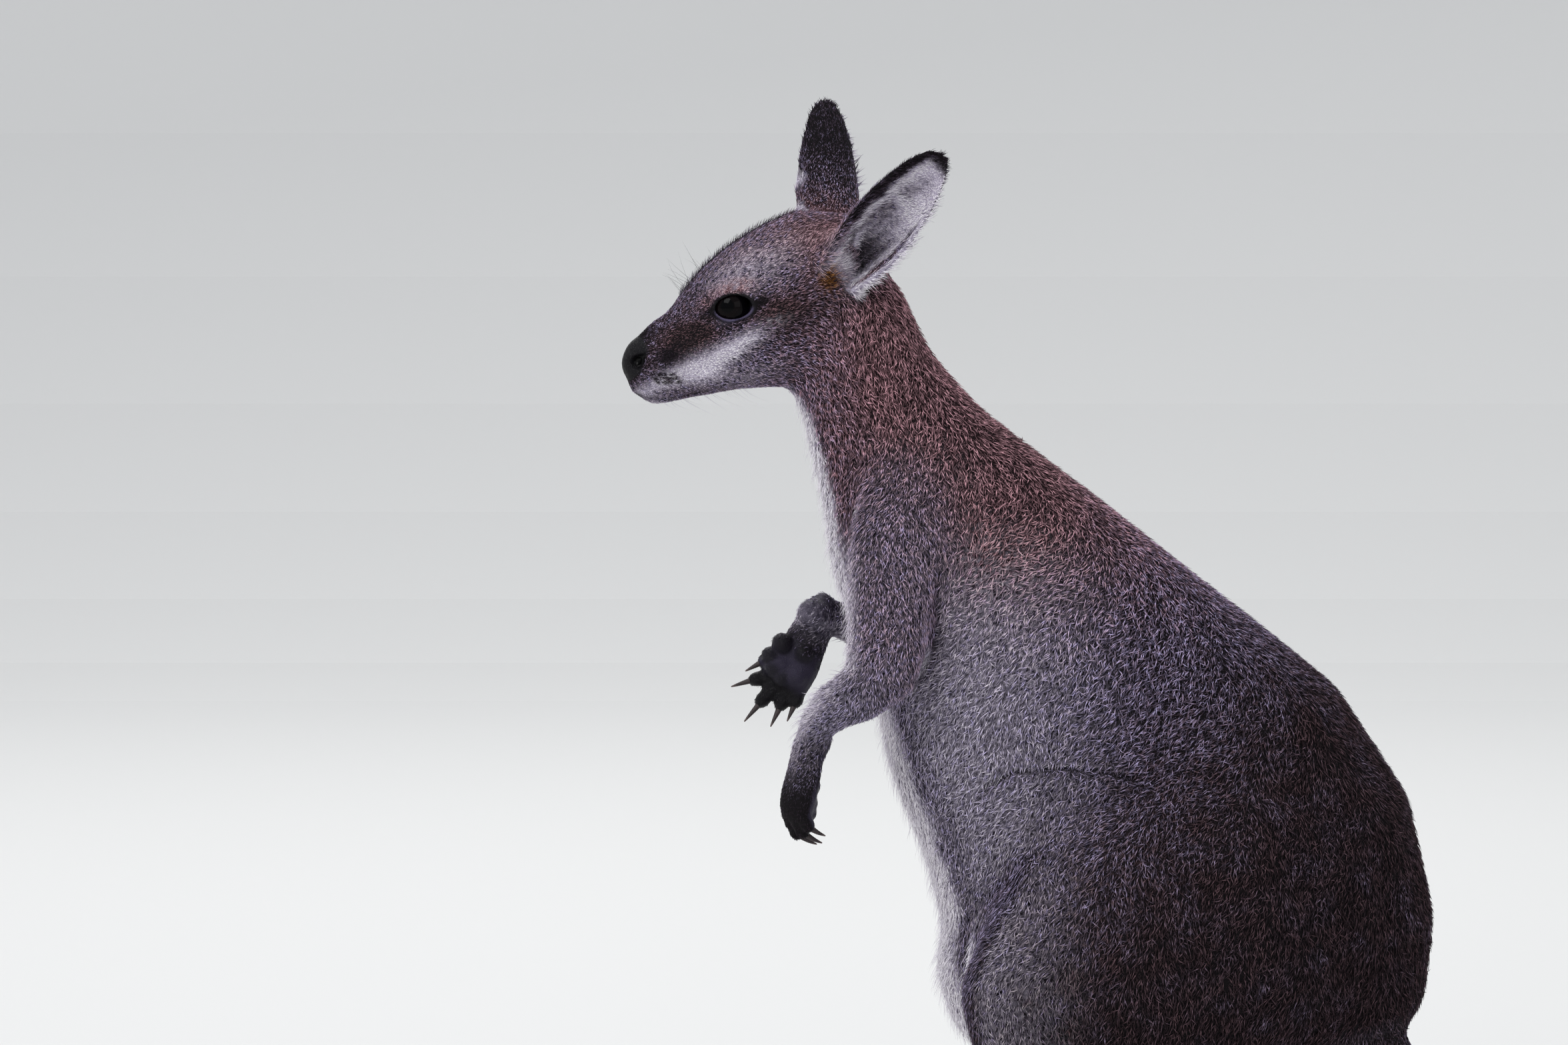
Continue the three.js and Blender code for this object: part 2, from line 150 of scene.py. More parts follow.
CARD_COLOUR = (0.80, 0.80, 0.785, 1)
CARD_FRONT, CARD_REAR, CARD_SIDE = -5.0, 3.0, 8.0  # how far the flat card reaches to each side
CARD_BEND, CARD_TOP = 1.6, 5.0  # the radius of its bend behind the animal, and how high it rises
BEND_ROWS = 14


def card_material():
    """Pale card that can be looked through from its back."""
    card, tree, surface = finish_of("pale card", Base_Color=CARD_COLOUR, Roughness=0.9)
    fibre = add(tree, "TexNoise", Scale=220.0, Detail=3.0)
    with_relief(tree, surface, fibre.outputs["Fac"], Strength=0.05)
    sided = add(tree, "MixShader")
    tree.links.new(add(tree, "NewGeometry").outputs["Backfacing"], sided.inputs["Fac"])
    tree.links.new(surface.outputs["BSDF"], sided.inputs[1])
    tree.links.new(add(tree, "BsdfTransparent").outputs["BSDF"], sided.inputs[2])
    tree.links.new(sided.outputs["Shader"], tree.nodes["Material Output"].inputs["Surface"])
    return card


def paper_floor():
    """A sweep of card that turns up far behind the animal."""
    turns = np.linspace(0, math.pi / 2, BEND_ROWS)[1:]
    profile = [(CARD_FRONT, 0.0), (CARD_REAR, 0.0)]
    profile += [(CARD_REAR + CARD_BEND * math.sin(t), CARD_BEND * (1 - math.cos(t))) for t in turns]
    profile += [(CARD_REAR + CARD_BEND, CARD_TOP)]
    points = [(x, y, z) for y, z in profile for x in (-CARD_SIDE, CARD_SIDE)]
    faces = [(2 * i, 2 * i + 1, 2 * i + 3, 2 * i + 2) for i in range(len(profile) - 1)]
    mesh = bpy.data.meshes.new("floor")
    mesh.from_pydata(points, [], faces)
    mesh.materials.append(card_material())
    floor = bpy.data.objects.new("floor", mesh)
    bpy.context.scene.collection.objects.link(floor)


paper_floor()

# ---------------------------------------------------------------- the solids as distance fields

FAR = 0.02  # how far from a solid its distance is known
KNOWN = 0.98  # a distance under this share of a field's reach is a true one
BODY_STEP = 0.0025

# coat depth in mm, and how far facets are smoothed away: 0 firm, 1 soft
FLESH = {
    "head": (1.8, 0.0),
    "neck": (2.8, 0.7),
    "trunk": (3.0, 0.8),
    "tail_root": (3.0, 0.8),
    "tail_middle": (2.8, 0.4),
    "tail_tip": (2.4, 0.2),
}
for _side in SIDES:
    FLESH |= {
        f"upper_arm_{_side}": (2.2, 0.65),
        f"forearm_{_side}": (1.7, 0.0),
        f"hand_{_side}": (1.2, 0.0),
        f"thigh_{_side}": (3.0, 0.7),
        f"shin_{_side}": (2.8, 0.5),
        f"foot_{_side}": (1.8, 0.0),
    }


def rows_of(items, name, width=3, kind=np.float32):
    """One property of a mesh's points, faces or corners, as the rows of an array."""
    found = np.empty(len(items) * width, kind)
    items.foreach_get(name, found)
    return found.reshape(-1, width)


def points_of(mesh):
    return rows_of(mesh.vertices, "co")


def triangles_of(mesh):
    """The triangles of a mesh that has no other faces."""
    return rows_of(mesh.loops, "vertex_index", 1, np.int32).reshape(-1, 3)


def solid(node):
    """Points and triangles of a CAD node."""
    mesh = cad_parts[node].data
    mesh.calc_loop_triangles()
    triangles = rows_of(mesh.loop_triangles, "vertices", kind=np.int32)
    return points_of(mesh), triangles.astype(np.uint32)


class Field:
    """A signed distance on a regular grid, negative inside, read anywhere between its points."""

    def __init__(self, low, step, values, beyond=FAR):
        self.low = np.asarray(low, np.float32)
        self.step = step
        self.values = values
        self.beyond = beyond
        self.high = self.low + step * (np.array(values.shape) - 1)

    def holds(self, points):
        return np.all((points > self.low) & (points < self.high), axis=1)

    def read(self, points):
        """Trilinear values at points that the grid holds."""
        spot = (points - self.low) / self.step
        cell = np.minimum(spot.astype(np.int32), np.array(self.values.shape) - 2)
        share = (spot - cell).astype(np.float32)
        flat = self.values.reshape(-1)
        row, column = self.values.shape[1] * self.values.shape[2], self.values.shape[2]
        index = cell[:, 0] * row + cell[:, 1] * column + cell[:, 2]
        x, y, z = share.T
        near = (flat[index] * (1 - z) + flat[index + 1] * z) * (1 - y)
        near += (flat[index + column] * (1 - z) + flat[index + column + 1] * z) * y
        index += row
        far = (flat[index] * (1 - z) + flat[index + 1] * z) * (1 - y)
        far += (flat[index + column] * (1 - z) + flat[index + column + 1] * z) * y
        return near * (1 - x) + far * x

    def __call__(self, points):
        found = np.full(len(points), self.beyond, np.float32)
        held = self.holds(points)
        found[held] = self.read(points[held])
        return found


def distance_from(points, step, reach, triangles=None, quads=None):
    """The distance field of a closed mesh."""
    cells = math.ceil(reach / step)
    grid = openvdb.FloatGrid.createLevelSetFromPolygons(
        points,
        triangles=triangles,
        quads=quads,
        transform=openvdb.createLinearTransform(voxelSize=step),
        halfWidth=cells,
    )
    low = np.floor(points.min(0) / step).astype(int) - cells
    high = np.ceil(points.max(0) / step).astype(int) + cells
    values = np.empty(high - low + 1, np.float32)
    grid.copyToArray(values, ijk=tuple(int(n) for n in low))
    return Field(low * step, step, values, reach)


def surface_of(field, level=0.0):
    """Points and quads where a field has this value, facing out."""
    grid = openvdb.FloatGrid(field.beyond)
    grid.copyFromArray(field.values, tolerance=0.0)
    grid.transform = openvdb.createLinearTransform(voxelSize=field.step)
    points, quads = grid.convertToQuads(isovalue=level)
    return (points + field.low).astype(np.float32), quads


def blurred(values, spread):
    """A Gaussian blur over a grid; the spread is in cells."""
    reach = math.ceil(2.5 * spread)
    shifts = range(-reach, reach + 1)
    weights = np.exp(-0.5 * (np.array(shifts) / spread) ** 2)
    weights /= weights.sum()
    for axis in range(3):
        values = np.moveaxis(values, axis, 0)
        padded = np.pad(values, [(reach, reach), (0, 0), (0, 0)], mode="edge")
        total = np.zeros_like(values)
        for shift, weight in zip(shifts, weights):
            start = shift + reach
            total += np.float32(weight) * padded[start : start + len(values)]
        values = np.moveaxis(total, 0, axis)
    return np.ascontiguousarray(values)


def smooth_union(a, b, k):
    """The nearer of two distances, rounded where they are alike."""
    ease = np.maximum(k - np.abs(a - b), 0)
    return np.minimum(a, b) - ease * ease / (4 * k)


def smoothstep(value, start, end):
    """0 up to the start, 1 from the end on, and an easy rise between them."""
    t = np.clip((value - start) / (end - start), 0, 1)
    return t * t * (3 - 2 * t)


def fading(value, start, end):
    """1 up to the start, 0 from the end on, and an easy fall between them."""
    return 1 - smoothstep(value, start, end)


def bell(away, reach):
    """1 where away is 0, and less the further from it."""
    return np.exp(-((away / reach) ** 2))


def mound(places, middle, reaches):
    """1 at the middle, and less away from it, with a reach for each direction."""
    return np.exp(-sum(((p - m) / r) ** 2 for p, m, r in zip(places, middle, reaches)))


def solid_distance(node, step, reach):
    points, triangles = solid(node)
    return distance_from(points, step, reach, triangles)


parts = {name: solid_distance(name, BODY_STEP, FAR) for name in FLESH}

CLOSING = 0.002  # the solids are grown by this to close the gaps between them, and shrunk again
SOFT_SPREAD, FIRM_SPREAD = 0.0085, 0.0026
MIXING = 0.009  # how far the coat of one form runs into the next
TRACE, TRACE_DEPTH, TRACE_SOFTNESS = 1e-6, 5, 0.5  # a trace of plain coat, for where no form is near
SOCKET_FILL = 0.4 * MM  # how far the filled socket stands over the eye
WHOLE_REACH, BODY_REACH = 0.034, 0.03  # how far the joined forms and the skin that is made of them are known
BALL_MARGIN = 0.012


def body_field():
    """The whole body without its ears as one field, drawn in by the depth of the coat."""
    low = np.min([p.low for p in parts.values()], axis=0)
    high = np.max([p.high for p in parts.values()], axis=0)
    shape = np.round((high - low) / BODY_STEP).astype(int) + 1
    union = np.full(shape, FAR, np.float32)
    depth = np.full(shape, TRACE * TRACE_DEPTH * MM, np.float32)
    softness = np.full(shape, TRACE * TRACE_SOFTNESS, np.float32)
    total = np.full(shape, TRACE, np.float32)
    for name, part in parts.items():
        start = np.round((part.low - low) / BODY_STEP).astype(int)
        block = tuple(slice(a, a + n) for a, n in zip(start, part.values.shape))
        union[block] = np.minimum(union[block], part.values)
        share = np.exp(-part.values / MIXING)
        share *= part.values < FAR * KNOWN
        depth[block] += share * FLESH[name][0] * MM
        softness[block] += share * FLESH[name][1]
        total[block] += share
    for side in SIDES:  # the sockets are filled here and opened again with the lids
        add_ball(union, low, eye_centres[side], EYE_RADIUS + SOCKET_FILL)
    points, quads = surface_of(Field(low, BODY_STEP, union), CLOSING)
    whole = distance_from(points, BODY_STEP, WHOLE_REACH, quads=quads)
    start = np.round((low - whole.low) / BODY_STEP).astype(int)
    block = tuple(slice(a, a + n) for a, n in zip(start, shape))
    values = whole.values[block]
    softness /= total
    soft = blurred(values, SOFT_SPREAD / BODY_STEP)
    firm = blurred(values, FIRM_SPREAD / BODY_STEP)
    values = firm + (soft - firm) * softness + CLOSING + depth / total
    return Field(low, BODY_STEP, values, BODY_REACH)


def add_ball(values, low, centre, radius):
    """A ball joined to a grid of distances."""
    reach = radius + BALL_MARGIN
    first = np.floor((np.array(centre) - reach - low) / BODY_STEP).astype(int)
    last = np.ceil((np.array(centre) + reach - low) / BODY_STEP).astype(int)
    axes = [np.arange(a, b) for a, b in zip(first, last)]
    x, y, z = np.meshgrid(*[l + BODY_STEP * a - c for l, a, c in zip(low, axes, centre)], indexing="ij")
    block = tuple(slice(a, b) for a, b in zip(first, last))
    values[block] = np.minimum(values[block], np.sqrt(x * x + y * y + z * z) - radius)


# ---------------------------------------------------------------- the head's own frame

HEAD_PITCH = math.radians(19)
ALONG = np.array((math.cos(HEAD_PITCH), 0, math.sin(HEAD_PITCH)))  # from the nose to the nape
UPWARD = np.array((-math.sin(HEAD_PITCH), 0, math.cos(HEAD_PITCH)))
EYE_ALONG, EYE_UP = 65 * MM, 9.4 * MM


def middle_of(node):
    low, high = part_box(node)
    return np.array((low + high) / 2)


eye_centres = {side: middle_of(f"eye_{side}") for side in SIDES}
EYE_RADIUS = float((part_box("eye_l")[1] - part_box("eye_l")[0])[2]) / 2
EYE_OUT = float(eye_centres["r"][1] - eye_centres["l"][1]) / 2
NOSE_TIP = (eye_centres["l"] + eye_centres["r"]) / 2 - EYE_ALONG * ALONG - EYE_UP * UPWARD


def head_places(points):
    """(along, out from the middle, up) of points, in mm from the tip of the nose."""
    offset = points - NOSE_TIP
    return offset @ ALONG / MM, np.abs(offset[:, 1]) / MM, offset @ UPWARD / MM


# Forms of the face: the middle (along, out, up), the reaches, and how far the skin rises there, all in mm
FACE_FORMS = {
    "brow ridge": ((61, 25, 18.5), (13, 9, 4.5), 1.7),
    "brow fold": ((64, 26, 15.5), (9, 6, 1.3), -0.7),
    "socket": ((63, 28, 9), (13, 9, 9), -1.2),
    "tear corner": ((54.5, 21, 10.2), (3.2, 5, 1.4), -1.3),
    "cheek bone": ((66, 28, -4), (14, 8, 4), 0.8),
    "whisker pad": ((20, 13, -16), (9, 7, 7), 1.2),
    "bridge hollow": ((34, 12, 8), (12, 5, 5), -0.6),
    "nose top": ((7, 0, 9), (8, 9, 6), 2.8),
    "bridge": ((20, 0, 13), (10, 8, 6), 2.2),
    "upper lip": ((1, 0, -16), (6, 9, 5.5), 2.8),
    "nostril wing": ((9.0, 7.6, -1.0), (6.0, 4.4, 5.5), 1.6),
    "nostril": ((8.0, 7.8, -3.2), (3.2, 4.8, 2.8), -8.0),
    "nostril slit": ((11.3, 8.8, -1.4), (2.6, 3.4, 1.6), -3.0),
    "philtrum": ((-1, 0, -12), (5, 0.8, 7), -1.0),
    "chin": ((9, 0, -27), (9, 8, 5), 1.8),
}
MOUTH_LINE = [(-0.7, -18.6), (6, -23.0), (15.3, -26.8), (26.5, -28.0), (33, -28.6)]
MOUTH_DEPTH, MOUTH_WIDTH = 1.0, 1.1
NOSE_BARE, NOSE_END = 1.2, (8, 34)  # mm of coat depth that the nose and lips don't have, and where it sets in


def from_line(a, u, line):
    """The distance from points to a bent line, all in mm."""
    found = np.full(len(a), 1e3, np.float32)
    for (a0, u0), (a1, u1) in zip(line[:-1], line[1:]):
        t = np.clip(((a - a0) * (a1 - a0) + (u - u0) * (u1 - u0)) / ((a1 - a0) ** 2 + (u1 - u0) ** 2), 0, 1)
        found = np.minimum(found, np.hypot(a - a0 - t * (a1 - a0), u - u0 - t * (u1 - u0)))
    return found


LID_THICKNESS = 1.0  # mm, over the ball of the eye
EYE_OPENING = (9.8, 6.4)  # half of its length and height, mm
EYE_SHIFT, EYE_DROP = 1.2, 0.25  # mm that the opening lies behind and below the middle of the ball
EYE_SLANT = math.radians(-12)
UPPER_ARCH, LOWER_ARCH = 1.05, 0.95  # how far each lid bends, as a share of the opening's height
ALMOND_SLOPE = 0.9
RIM_OUT, RIM_ASIDE, RIM_RADIUS = 0.45, 0.5, 0.85  # mm: the bead along the edge of the lids
LID_JOIN, RIM_JOIN = 2.2 * MM, 0.7 * MM


def eye_places(a, s, u):
    """(towards the outer corner, up, outward) from the middle of the eye, in mm."""
    da, ds, du = a - EYE_ALONG / MM, s - EYE_OUT / MM, u - EYE_UP / MM
    turned = da * math.cos(EYE_SLANT) + du * math.sin(EYE_SLANT)
    raised = du * math.cos(EYE_SLANT) - da * math.sin(EYE_SLANT)
    return turned, raised, ds


def with_face(points, found):
    """The head's distances with its lids, nose and mouth worked in."""
    a, s, u = head_places(points)
    change = -NOSE_BARE * fading(a, *NOSE_END)
    for middle, reaches, rise in FACE_FORMS.values():
        change -= rise * mound((a, s, u), middle, reaches)
    change += MOUTH_DEPTH * bell(from_line(a, u, MOUTH_LINE), MOUTH_WIDTH) * smoothstep(s, 0, 3)
    found = found + change * MM
    along, up, out = eye_places(a, s, u)
    ball = np.sqrt(along**2 + up**2 + out**2) - EYE_RADIUS / MM
    lids = np.maximum(ball - LID_THICKNESS, -out)
    length, height = EYE_OPENING
    arch = np.where(up > 0, height * UPPER_ARCH, height * LOWER_ARCH)
    corner = np.hypot((along - EYE_SHIFT) / length, (up + EYE_DROP) / arch) - 1
    almond = corner * height * ALMOND_SLOPE
    rim = np.hypot(ball - RIM_OUT, almond - RIM_ASIDE) - RIM_RADIUS
    found = smooth_union(found, lids * MM, LID_JOIN)
    found = smooth_union(found, rim * MM, RIM_JOIN)
    opening = np.maximum(almond, -out + 1)
    return np.maximum(found, -opening * MM)


# ---------------------------------------------------------------- the skin

def unit(vectors):
    return vectors / np.maximum(np.linalg.norm(vectors, axis=-1, keepdims=True), 1e-9)


def along_skin(ways, normals):
    """The part of each way that runs along the skin, as unit vectors."""
    return unit(ways - normals * np.sum(ways * normals, axis=1, keepdims=True))


EAR_OPENING = {"l": (0.1, -1, -0.2), "r": (-0.5, 1, 0.1)}
EAR_BASE = 0.08  # the share of an ear's points, closest to the head, whose middle is its base
EAR_ROWS, ROW_REACH = 14, 0.07  # the ear's width is measured in rows, each over this share of its length


def ear_axes(side):
    """The ear's base and tip, and its axes: along, opening and towards its rear rim."""
    points, _ = solid(f"ear_{side}")
    away = np.linalg.norm(points - middle_of("head"), axis=1)
    tip = points[np.argmax(away)]
    base = points[away < np.quantile(away, EAR_BASE)].mean(0)
    along = unit(tip - base)
    opening = unit(np.array(EAR_OPENING[side]))
    opening = unit(opening - along * (opening @ along))
    rear = np.cross(along, opening)
    return base, tip, along, opening, rear * np.sign(rear[0])


ear_frames = {side: ear_axes(side) for side in SIDES}


def ear_widths(side):
    """Where the ear's rims are, from base to tip: (share of the length, to the front, to the rear)."""
    points, _ = solid(f"ear_{side}")
    base, tip, along, _, rear = ear_frames[side]
    t = (points - base) @ along / np.linalg.norm(tip - base)
    out = (points - base) @ rear
    marks = np.linspace(0.08, 0.97, EAR_ROWS)
    near = [np.abs(t - mark) < ROW_REACH for mark in marks]
    return marks, np.array([out[n].min() for n in near]), np.array([out[n].max() for n in near])


SMALL_REACH, SMALL_BLUR = 0.012, 0.9
SMALL_FORMS = {}  # node: (its field, how far it is drawn in, how smoothly it joins the body)
for _side in SIDES:
    for _name, _step, _inset, _join in (("ear", 0.9, 0.3, 9), ("hand", 0.9, 0.3, 5), ("foot", 1.3, 1.3, 8)):
        _field = solid_distance(f"{_name}_{_side}", _step * MM * (1), SMALL_REACH)
        _field.values = blurred(_field.values, SMALL_BLUR)
        SMALL_FORMS[f"{_name}_{_side}"] = (_field, _inset * MM, _join * MM)


CLAW_BASE = 0.85  # the middle of a claw's points that are further than this share from its tip is its base


def claw_axis(claw, limb):
    """A claw's base and tip, from its solid and the hand or foot that carries it."""
    points, _ = solid(claw)
    away = np.linalg.norm(points - middle_of(limb), axis=1)
    tip = points[np.argmax(away)]
    reach = np.linalg.norm(points - tip, axis=1)
    return points[reach > CLAW_BASE * reach.max()].mean(0), tip


DIGITS = {
    "claw": ("thumb", "index", "middle", "ring", "little"),
    "toe_claw": ("fourth", "fifth", "third", "second"),
}
CLAWS = {}  # claw: (hand or foot, base, tip)
for _side in SIDES:
    for _kind, _digits in DIGITS.items():
        for _digit in _digits:
            _name = f"{_kind}_{_digit}_{_side}"
            _limb = ("hand_" if _kind == "claw" else "foot_") + _side
            CLAWS[_name] = (_limb, *claw_axis(_name, _limb))

TIP_RADIUS, TIP_BACK, TIP_JOIN = 3.1 * MM, 3.8 * MM, 3.0 * MM  # the ball of the fingertip round each claw

PALM_WAY = {"l": (0.85, 0.5, -0.2), "r": (-0.1, -1, 0.1)}
# Bare pads of a palm: along from the wrist, across to the thumb, below the middle, and radius, all in mm
PALM_PADS = {
    "wrist knob": (-1, 1, 7.0, 8.4),
    "heel": (19, -6, 4.0, 5.2),
    "thumb": (21, 6.5, 4.2, 5.8),
    "thumb tip": (30, 8.5, 3.6, 5.0),
    "index": (35, 3.0, 3.6, 4.8),
    "middle": (37, -3.5, 3.4, 4.6),
    "little": (33, -9.0, 2.6, 4.4),
}
PAD_SUNK = {"l": 3.8, "r": 0.4}  # mm: the pads of the hand that hangs down are pressed flatter
PALM_HOLLOW = ((10.5, 0, 9), (4.5, 12, 5), 2.4)  # behind the pads: its middle, its reaches, its depth
PAD_JOIN = 1.4 * MM
WRIST_COAT = 1.4 * MM  # how much deeper the coat is at the wrist than on the fingers
WRIST_FADE = 0.026
WRIST_END = 0.012  # the last of the forearm, whose middle is the wrist


def hand_frame(side):
    """The wrist and the ways along the fingers, across to the thumb and out of the palm."""
    points, _ = solid(f"forearm_{side}")
    onward = unit(middle_of(f"hand_{side}") - middle_of(f"forearm_{side}"))
    reach = points @ onward
    wrist = points[reach > reach.max() - WRIST_END].mean(0)
    tips = [CLAWS[f"claw_{digit}_{side}"][1] for digit in ("index", "middle", "ring")]
    fingers = unit(np.mean(tips, axis=0) - wrist)
    outward = np.array(PALM_WAY[side])
    palm = unit(outward - fingers * (outward @ fingers))
    return wrist, fingers, np.cross(fingers, palm) * SIDES[side], palm


hand_frames = {side: hand_frame(side) for side in SIDES}


def in_hand(points, side):
    """(along, across, below) of points in the hand's frame."""
    wrist, *axes = hand_frames[side]
    return tuple((points - wrist) @ axis for axis in axes)


# the ear's filled root: how far up and how far behind its middle, its radius, and how smoothly it joins
ROOT_UP, ROOT_BEHIND, ROOT_RADIUS, ROOT_JOIN = 0.005, 0.006, 0.009, 0.010
ROOT_REACH = 0.03

body = body_field()
HEAD_LOW, HEAD_HIGH = (np.array(v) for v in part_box("head"))
HEAD_MARGIN = 0.01
SOLE = 0.0004  # how far the skin of the soles stays above the floor


def with_ball(points, found, centre, radius, join):
    """The distances with a ball joined on, worked out only near it."""
    near = np.all(np.abs(points - centre) < radius + 2 * join, axis=1)
    found[near] = smooth_union(found[near], np.linalg.norm(points[near] - centre, axis=1) - radius, join)


def with_palm(points, found, side):
    """The distances with the pads of a palm and the hollow behind them."""
    wrist, *axes = hand_frames[side]
    for along, across, below, radius in PALM_PADS.values():
        centre = wrist + np.array((along, across, below - PAD_SUNK[side])) * MM @ np.array(axes)
        with_ball(points, found, centre, radius * MM, PAD_JOIN)
    middle, reaches, depth = PALM_HOLLOW
    places = [place / MM for place in in_hand(points, side)]
    found += depth * MM * mound(places, middle, reaches)


# Lines on the left side that the skin follows, as (x, z) in mm
HIP_LINE = [(-324, 264), (-316, 271), (-301, 281), (-275, 284), (-250, 282), (-235, 277), (-224, 271)]
ARMPIT_LINE = [(-341, 392), (-341, 344), (-347, 330), (-355, 321)]
BELLY_LINE = [(-286, 246), (-298, 216), (-312, 189), (-319, 160), (-317, 135), (-304, 106)]
# Folds: the form that carries them, the line, how deep and wide in mm, and the swelling below. On the right
# they lie as far to the rear as that side's own form does. The last row fills the hollow along the belly.
FOLDS = [
    ("thigh", HIP_LINE, 2.4, 2.0, 2.0),
    ("upper_arm", ARMPIT_LINE, 2.4, 2.0, 0.0),
    ("thigh", BELLY_LINE, -5.0, 9.0, 0.0),
]
FOLD_SHIFT, FOLD_SWELL = 8.0, 6.5  # mm: how far below a fold the swelling lies, and how wide it is
FOLD_FADE, FOLD_SIDES = 18, (38, 50)  # mm over which a fold sets in at its ends, and away from the middle


def fold_depth(points):
    """How deep the skin is drawn in by the folds, and how close each point is to one (1 on it), in mm."""
    y, z = np.abs(points[:, 1]) / MM, points[:, 2] / MM
    depth, close = np.zeros(len(points), np.float32), np.zeros(len(points), np.float32)
    for form, line, deep, wide, swell in FOLDS:
        further = float(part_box(form + "_r")[1][0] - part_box(form + "_l")[1][0]) / MM
        x = points[:, 0] / MM - further * (points[:, 1] > 0)
        ends = np.min([np.hypot(x - end_x, z - end_z) for end_x, end_z in (line[0], line[-1])], axis=0)
        fade = smoothstep(ends, 0, FOLD_FADE) * smoothstep(y, *FOLD_SIDES)
        near = bell(from_line(x, z, line), wide) * fade
        depth += deep * near - swell * bell(from_line(x, z + FOLD_SHIFT, line), FOLD_SWELL) * fade
        close = np.maximum(close, near * (deep > 0))
    return depth, close


def skin_distance(points):
    """The body with its ears, hands, feet, folds and face, as distances from the skin."""
    found = body(points)
    for name, (field, inset, join) in SMALL_FORMS.items():
        near = field.holds(points)
        if name.startswith("hand"):
            along = in_hand(points[near], name[-1])[0]
            inset = inset + WRIST_COAT * fading(along, 0, WRIST_FADE)
        small = field.read(points[near]) + inset
        if name.startswith("hand"):
            with_palm(points[near], small, name[-1])
        found[near] = smooth_union(found[near], small, join)
    for limb, base, tip in CLAWS.values():
        if limb.startswith("hand"):
            with_ball(points, found, base - unit(tip - base) * TIP_BACK, TIP_RADIUS, TIP_JOIN)
    found += fold_depth(points)[0] * MM
    for base, _, axis, opening, _ in ear_frames.values():
        centre = base + axis * ROOT_UP - opening * ROOT_BEHIND
        near = np.all(np.abs(points - centre) < ROOT_REACH, axis=1)
        root = np.linalg.norm(points[near] - centre, axis=1) - ROOT_RADIUS
        found[near] = smooth_union(found[near], root, ROOT_JOIN)
    near = np.all((points > HEAD_LOW - HEAD_MARGIN) & (points < HEAD_HIGH + HEAD_MARGIN), axis=1)
    found[near] = with_face(points[near], found[near])
    return np.maximum(found, SOLE - points[:, 2])


def in_batches(function, points, size=1_000_000):
    return np.concatenate([function(points[i : i + size]) for i in range(0, len(points), size)])


SKIN_STEP = 1.35 * MM
BLOCK = 3  # fine cells across a coarse one
BAND = 5  # fine cells to each side of the surface that are worked out


def skin_grid():
    """The skin's field on a fine grid, worked out only close to the surface."""
    coarse = SKIN_STEP * BLOCK
    low, high = (np.array(v) for v in CAD_BOX)
    low, high = low - 2 * coarse, high + 2 * coarse
    counts = np.ceil((high - low) / coarse).astype(int)
    centres = [l + SKIN_STEP * (BLOCK * np.arange(n) + 1) for l, n in zip(low, counts)]
    places = np.stack(np.meshgrid(*centres, indexing="ij"), axis=-1).reshape(-1, 3).astype(np.float32)
    rough = in_batches(skin_distance, places)
    band = BAND * SKIN_STEP
    blocks = np.flatnonzero(np.abs(rough) < band)
    fine = rough.reshape(counts)
    for axis in range(3):
        fine = np.repeat(fine, BLOCK, axis)
    offsets = np.stack(np.meshgrid(*[np.arange(BLOCK)] * 3, indexing="ij"), axis=-1).reshape(-1, 3)
    cells = np.stack(np.unravel_index(blocks, counts), axis=-1)[:, None, :] * BLOCK + offsets
    cells = cells.reshape(-1, 3)
    fine[tuple(cells.T)] = in_batches(skin_distance, (low + SKIN_STEP * cells).astype(np.float32))
    np.clip(fine, -band, band, out=fine)
    return Field(low, SKIN_STEP, fine, band)


SLOPE_STEP, LONGEST_STEP, ROUNDS = 0.6 * MM, 2 * MM, 2


def slope(points):
    """The unit direction in which the skin's distance grows."""
    steps = []
    for axis in np.eye(3, dtype=np.float32) * SLOPE_STEP:
        steps.append(skin_distance(points + axis) - skin_distance(points - axis))
    return unit(np.stack(steps, axis=1))


def settled(points):
    """Points moved onto the skin."""
    for _ in range(ROUNDS):
        away = skin_distance(points)
        points = points - np.clip(away, -LONGEST_STEP, LONGEST_STEP)[:, None] * slope(points)
    return points.astype(np.float32)


def mesh_of(name, points, faces):
    """A mesh whose faces all have the same number of corners."""
    mesh = bpy.data.meshes.new(name)
    faces = np.asarray(faces)
    mesh.vertices.add(len(points))
    mesh.vertices.foreach_set("co", np.asarray(points, np.float32).ravel())
    size = faces.shape[1]
    mesh.loops.add(faces.size)
    mesh.loops.foreach_set("vertex_index", faces.astype(np.int32).ravel())
    mesh.polygons.add(len(faces))
    mesh.polygons.foreach_set("loop_start", np.arange(0, faces.size, size, dtype=np.int32))
    mesh.update(calc_edges=True)
    return mesh


def piece(name, mesh, material, replaced=()):
    """One visible piece, which rides with the animal and takes its material."""
    made = bpy.data.objects.new(name, mesh)
    bpy.context.scene.collection.objects.link(made)
    mesh.materials.append(material)
    mesh.polygons.foreach_set("use_smooth", np.ones(len(mesh.polygons), bool))
    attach(made, "root")
    if replaced:
        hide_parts(*replaced)


def with_modifier(mesh, kind, weights=None, **values):
    """A copy of a mesh with one modifier applied; weights fill its vertex group."""
    holder = bpy.data.objects.new("holder", mesh)
    bpy.context.scene.collection.objects.link(holder)
    modifier = holder.modifiers.new("made", kind)
    for name, value in values.items():
        setattr(modifier, name, value)
    if weights is not None:
        group = holder.vertex_groups.new(name="chosen")
        group.add(np.flatnonzero(weights).tolist(), 1.0, "REPLACE")
        modifier.vertex_group = group.name
    made = bpy.data.meshes.new_from_object(holder.evaluated_get(bpy.context.evaluated_depsgraph_get()))
    bpy.data.objects.remove(holder)
    return made


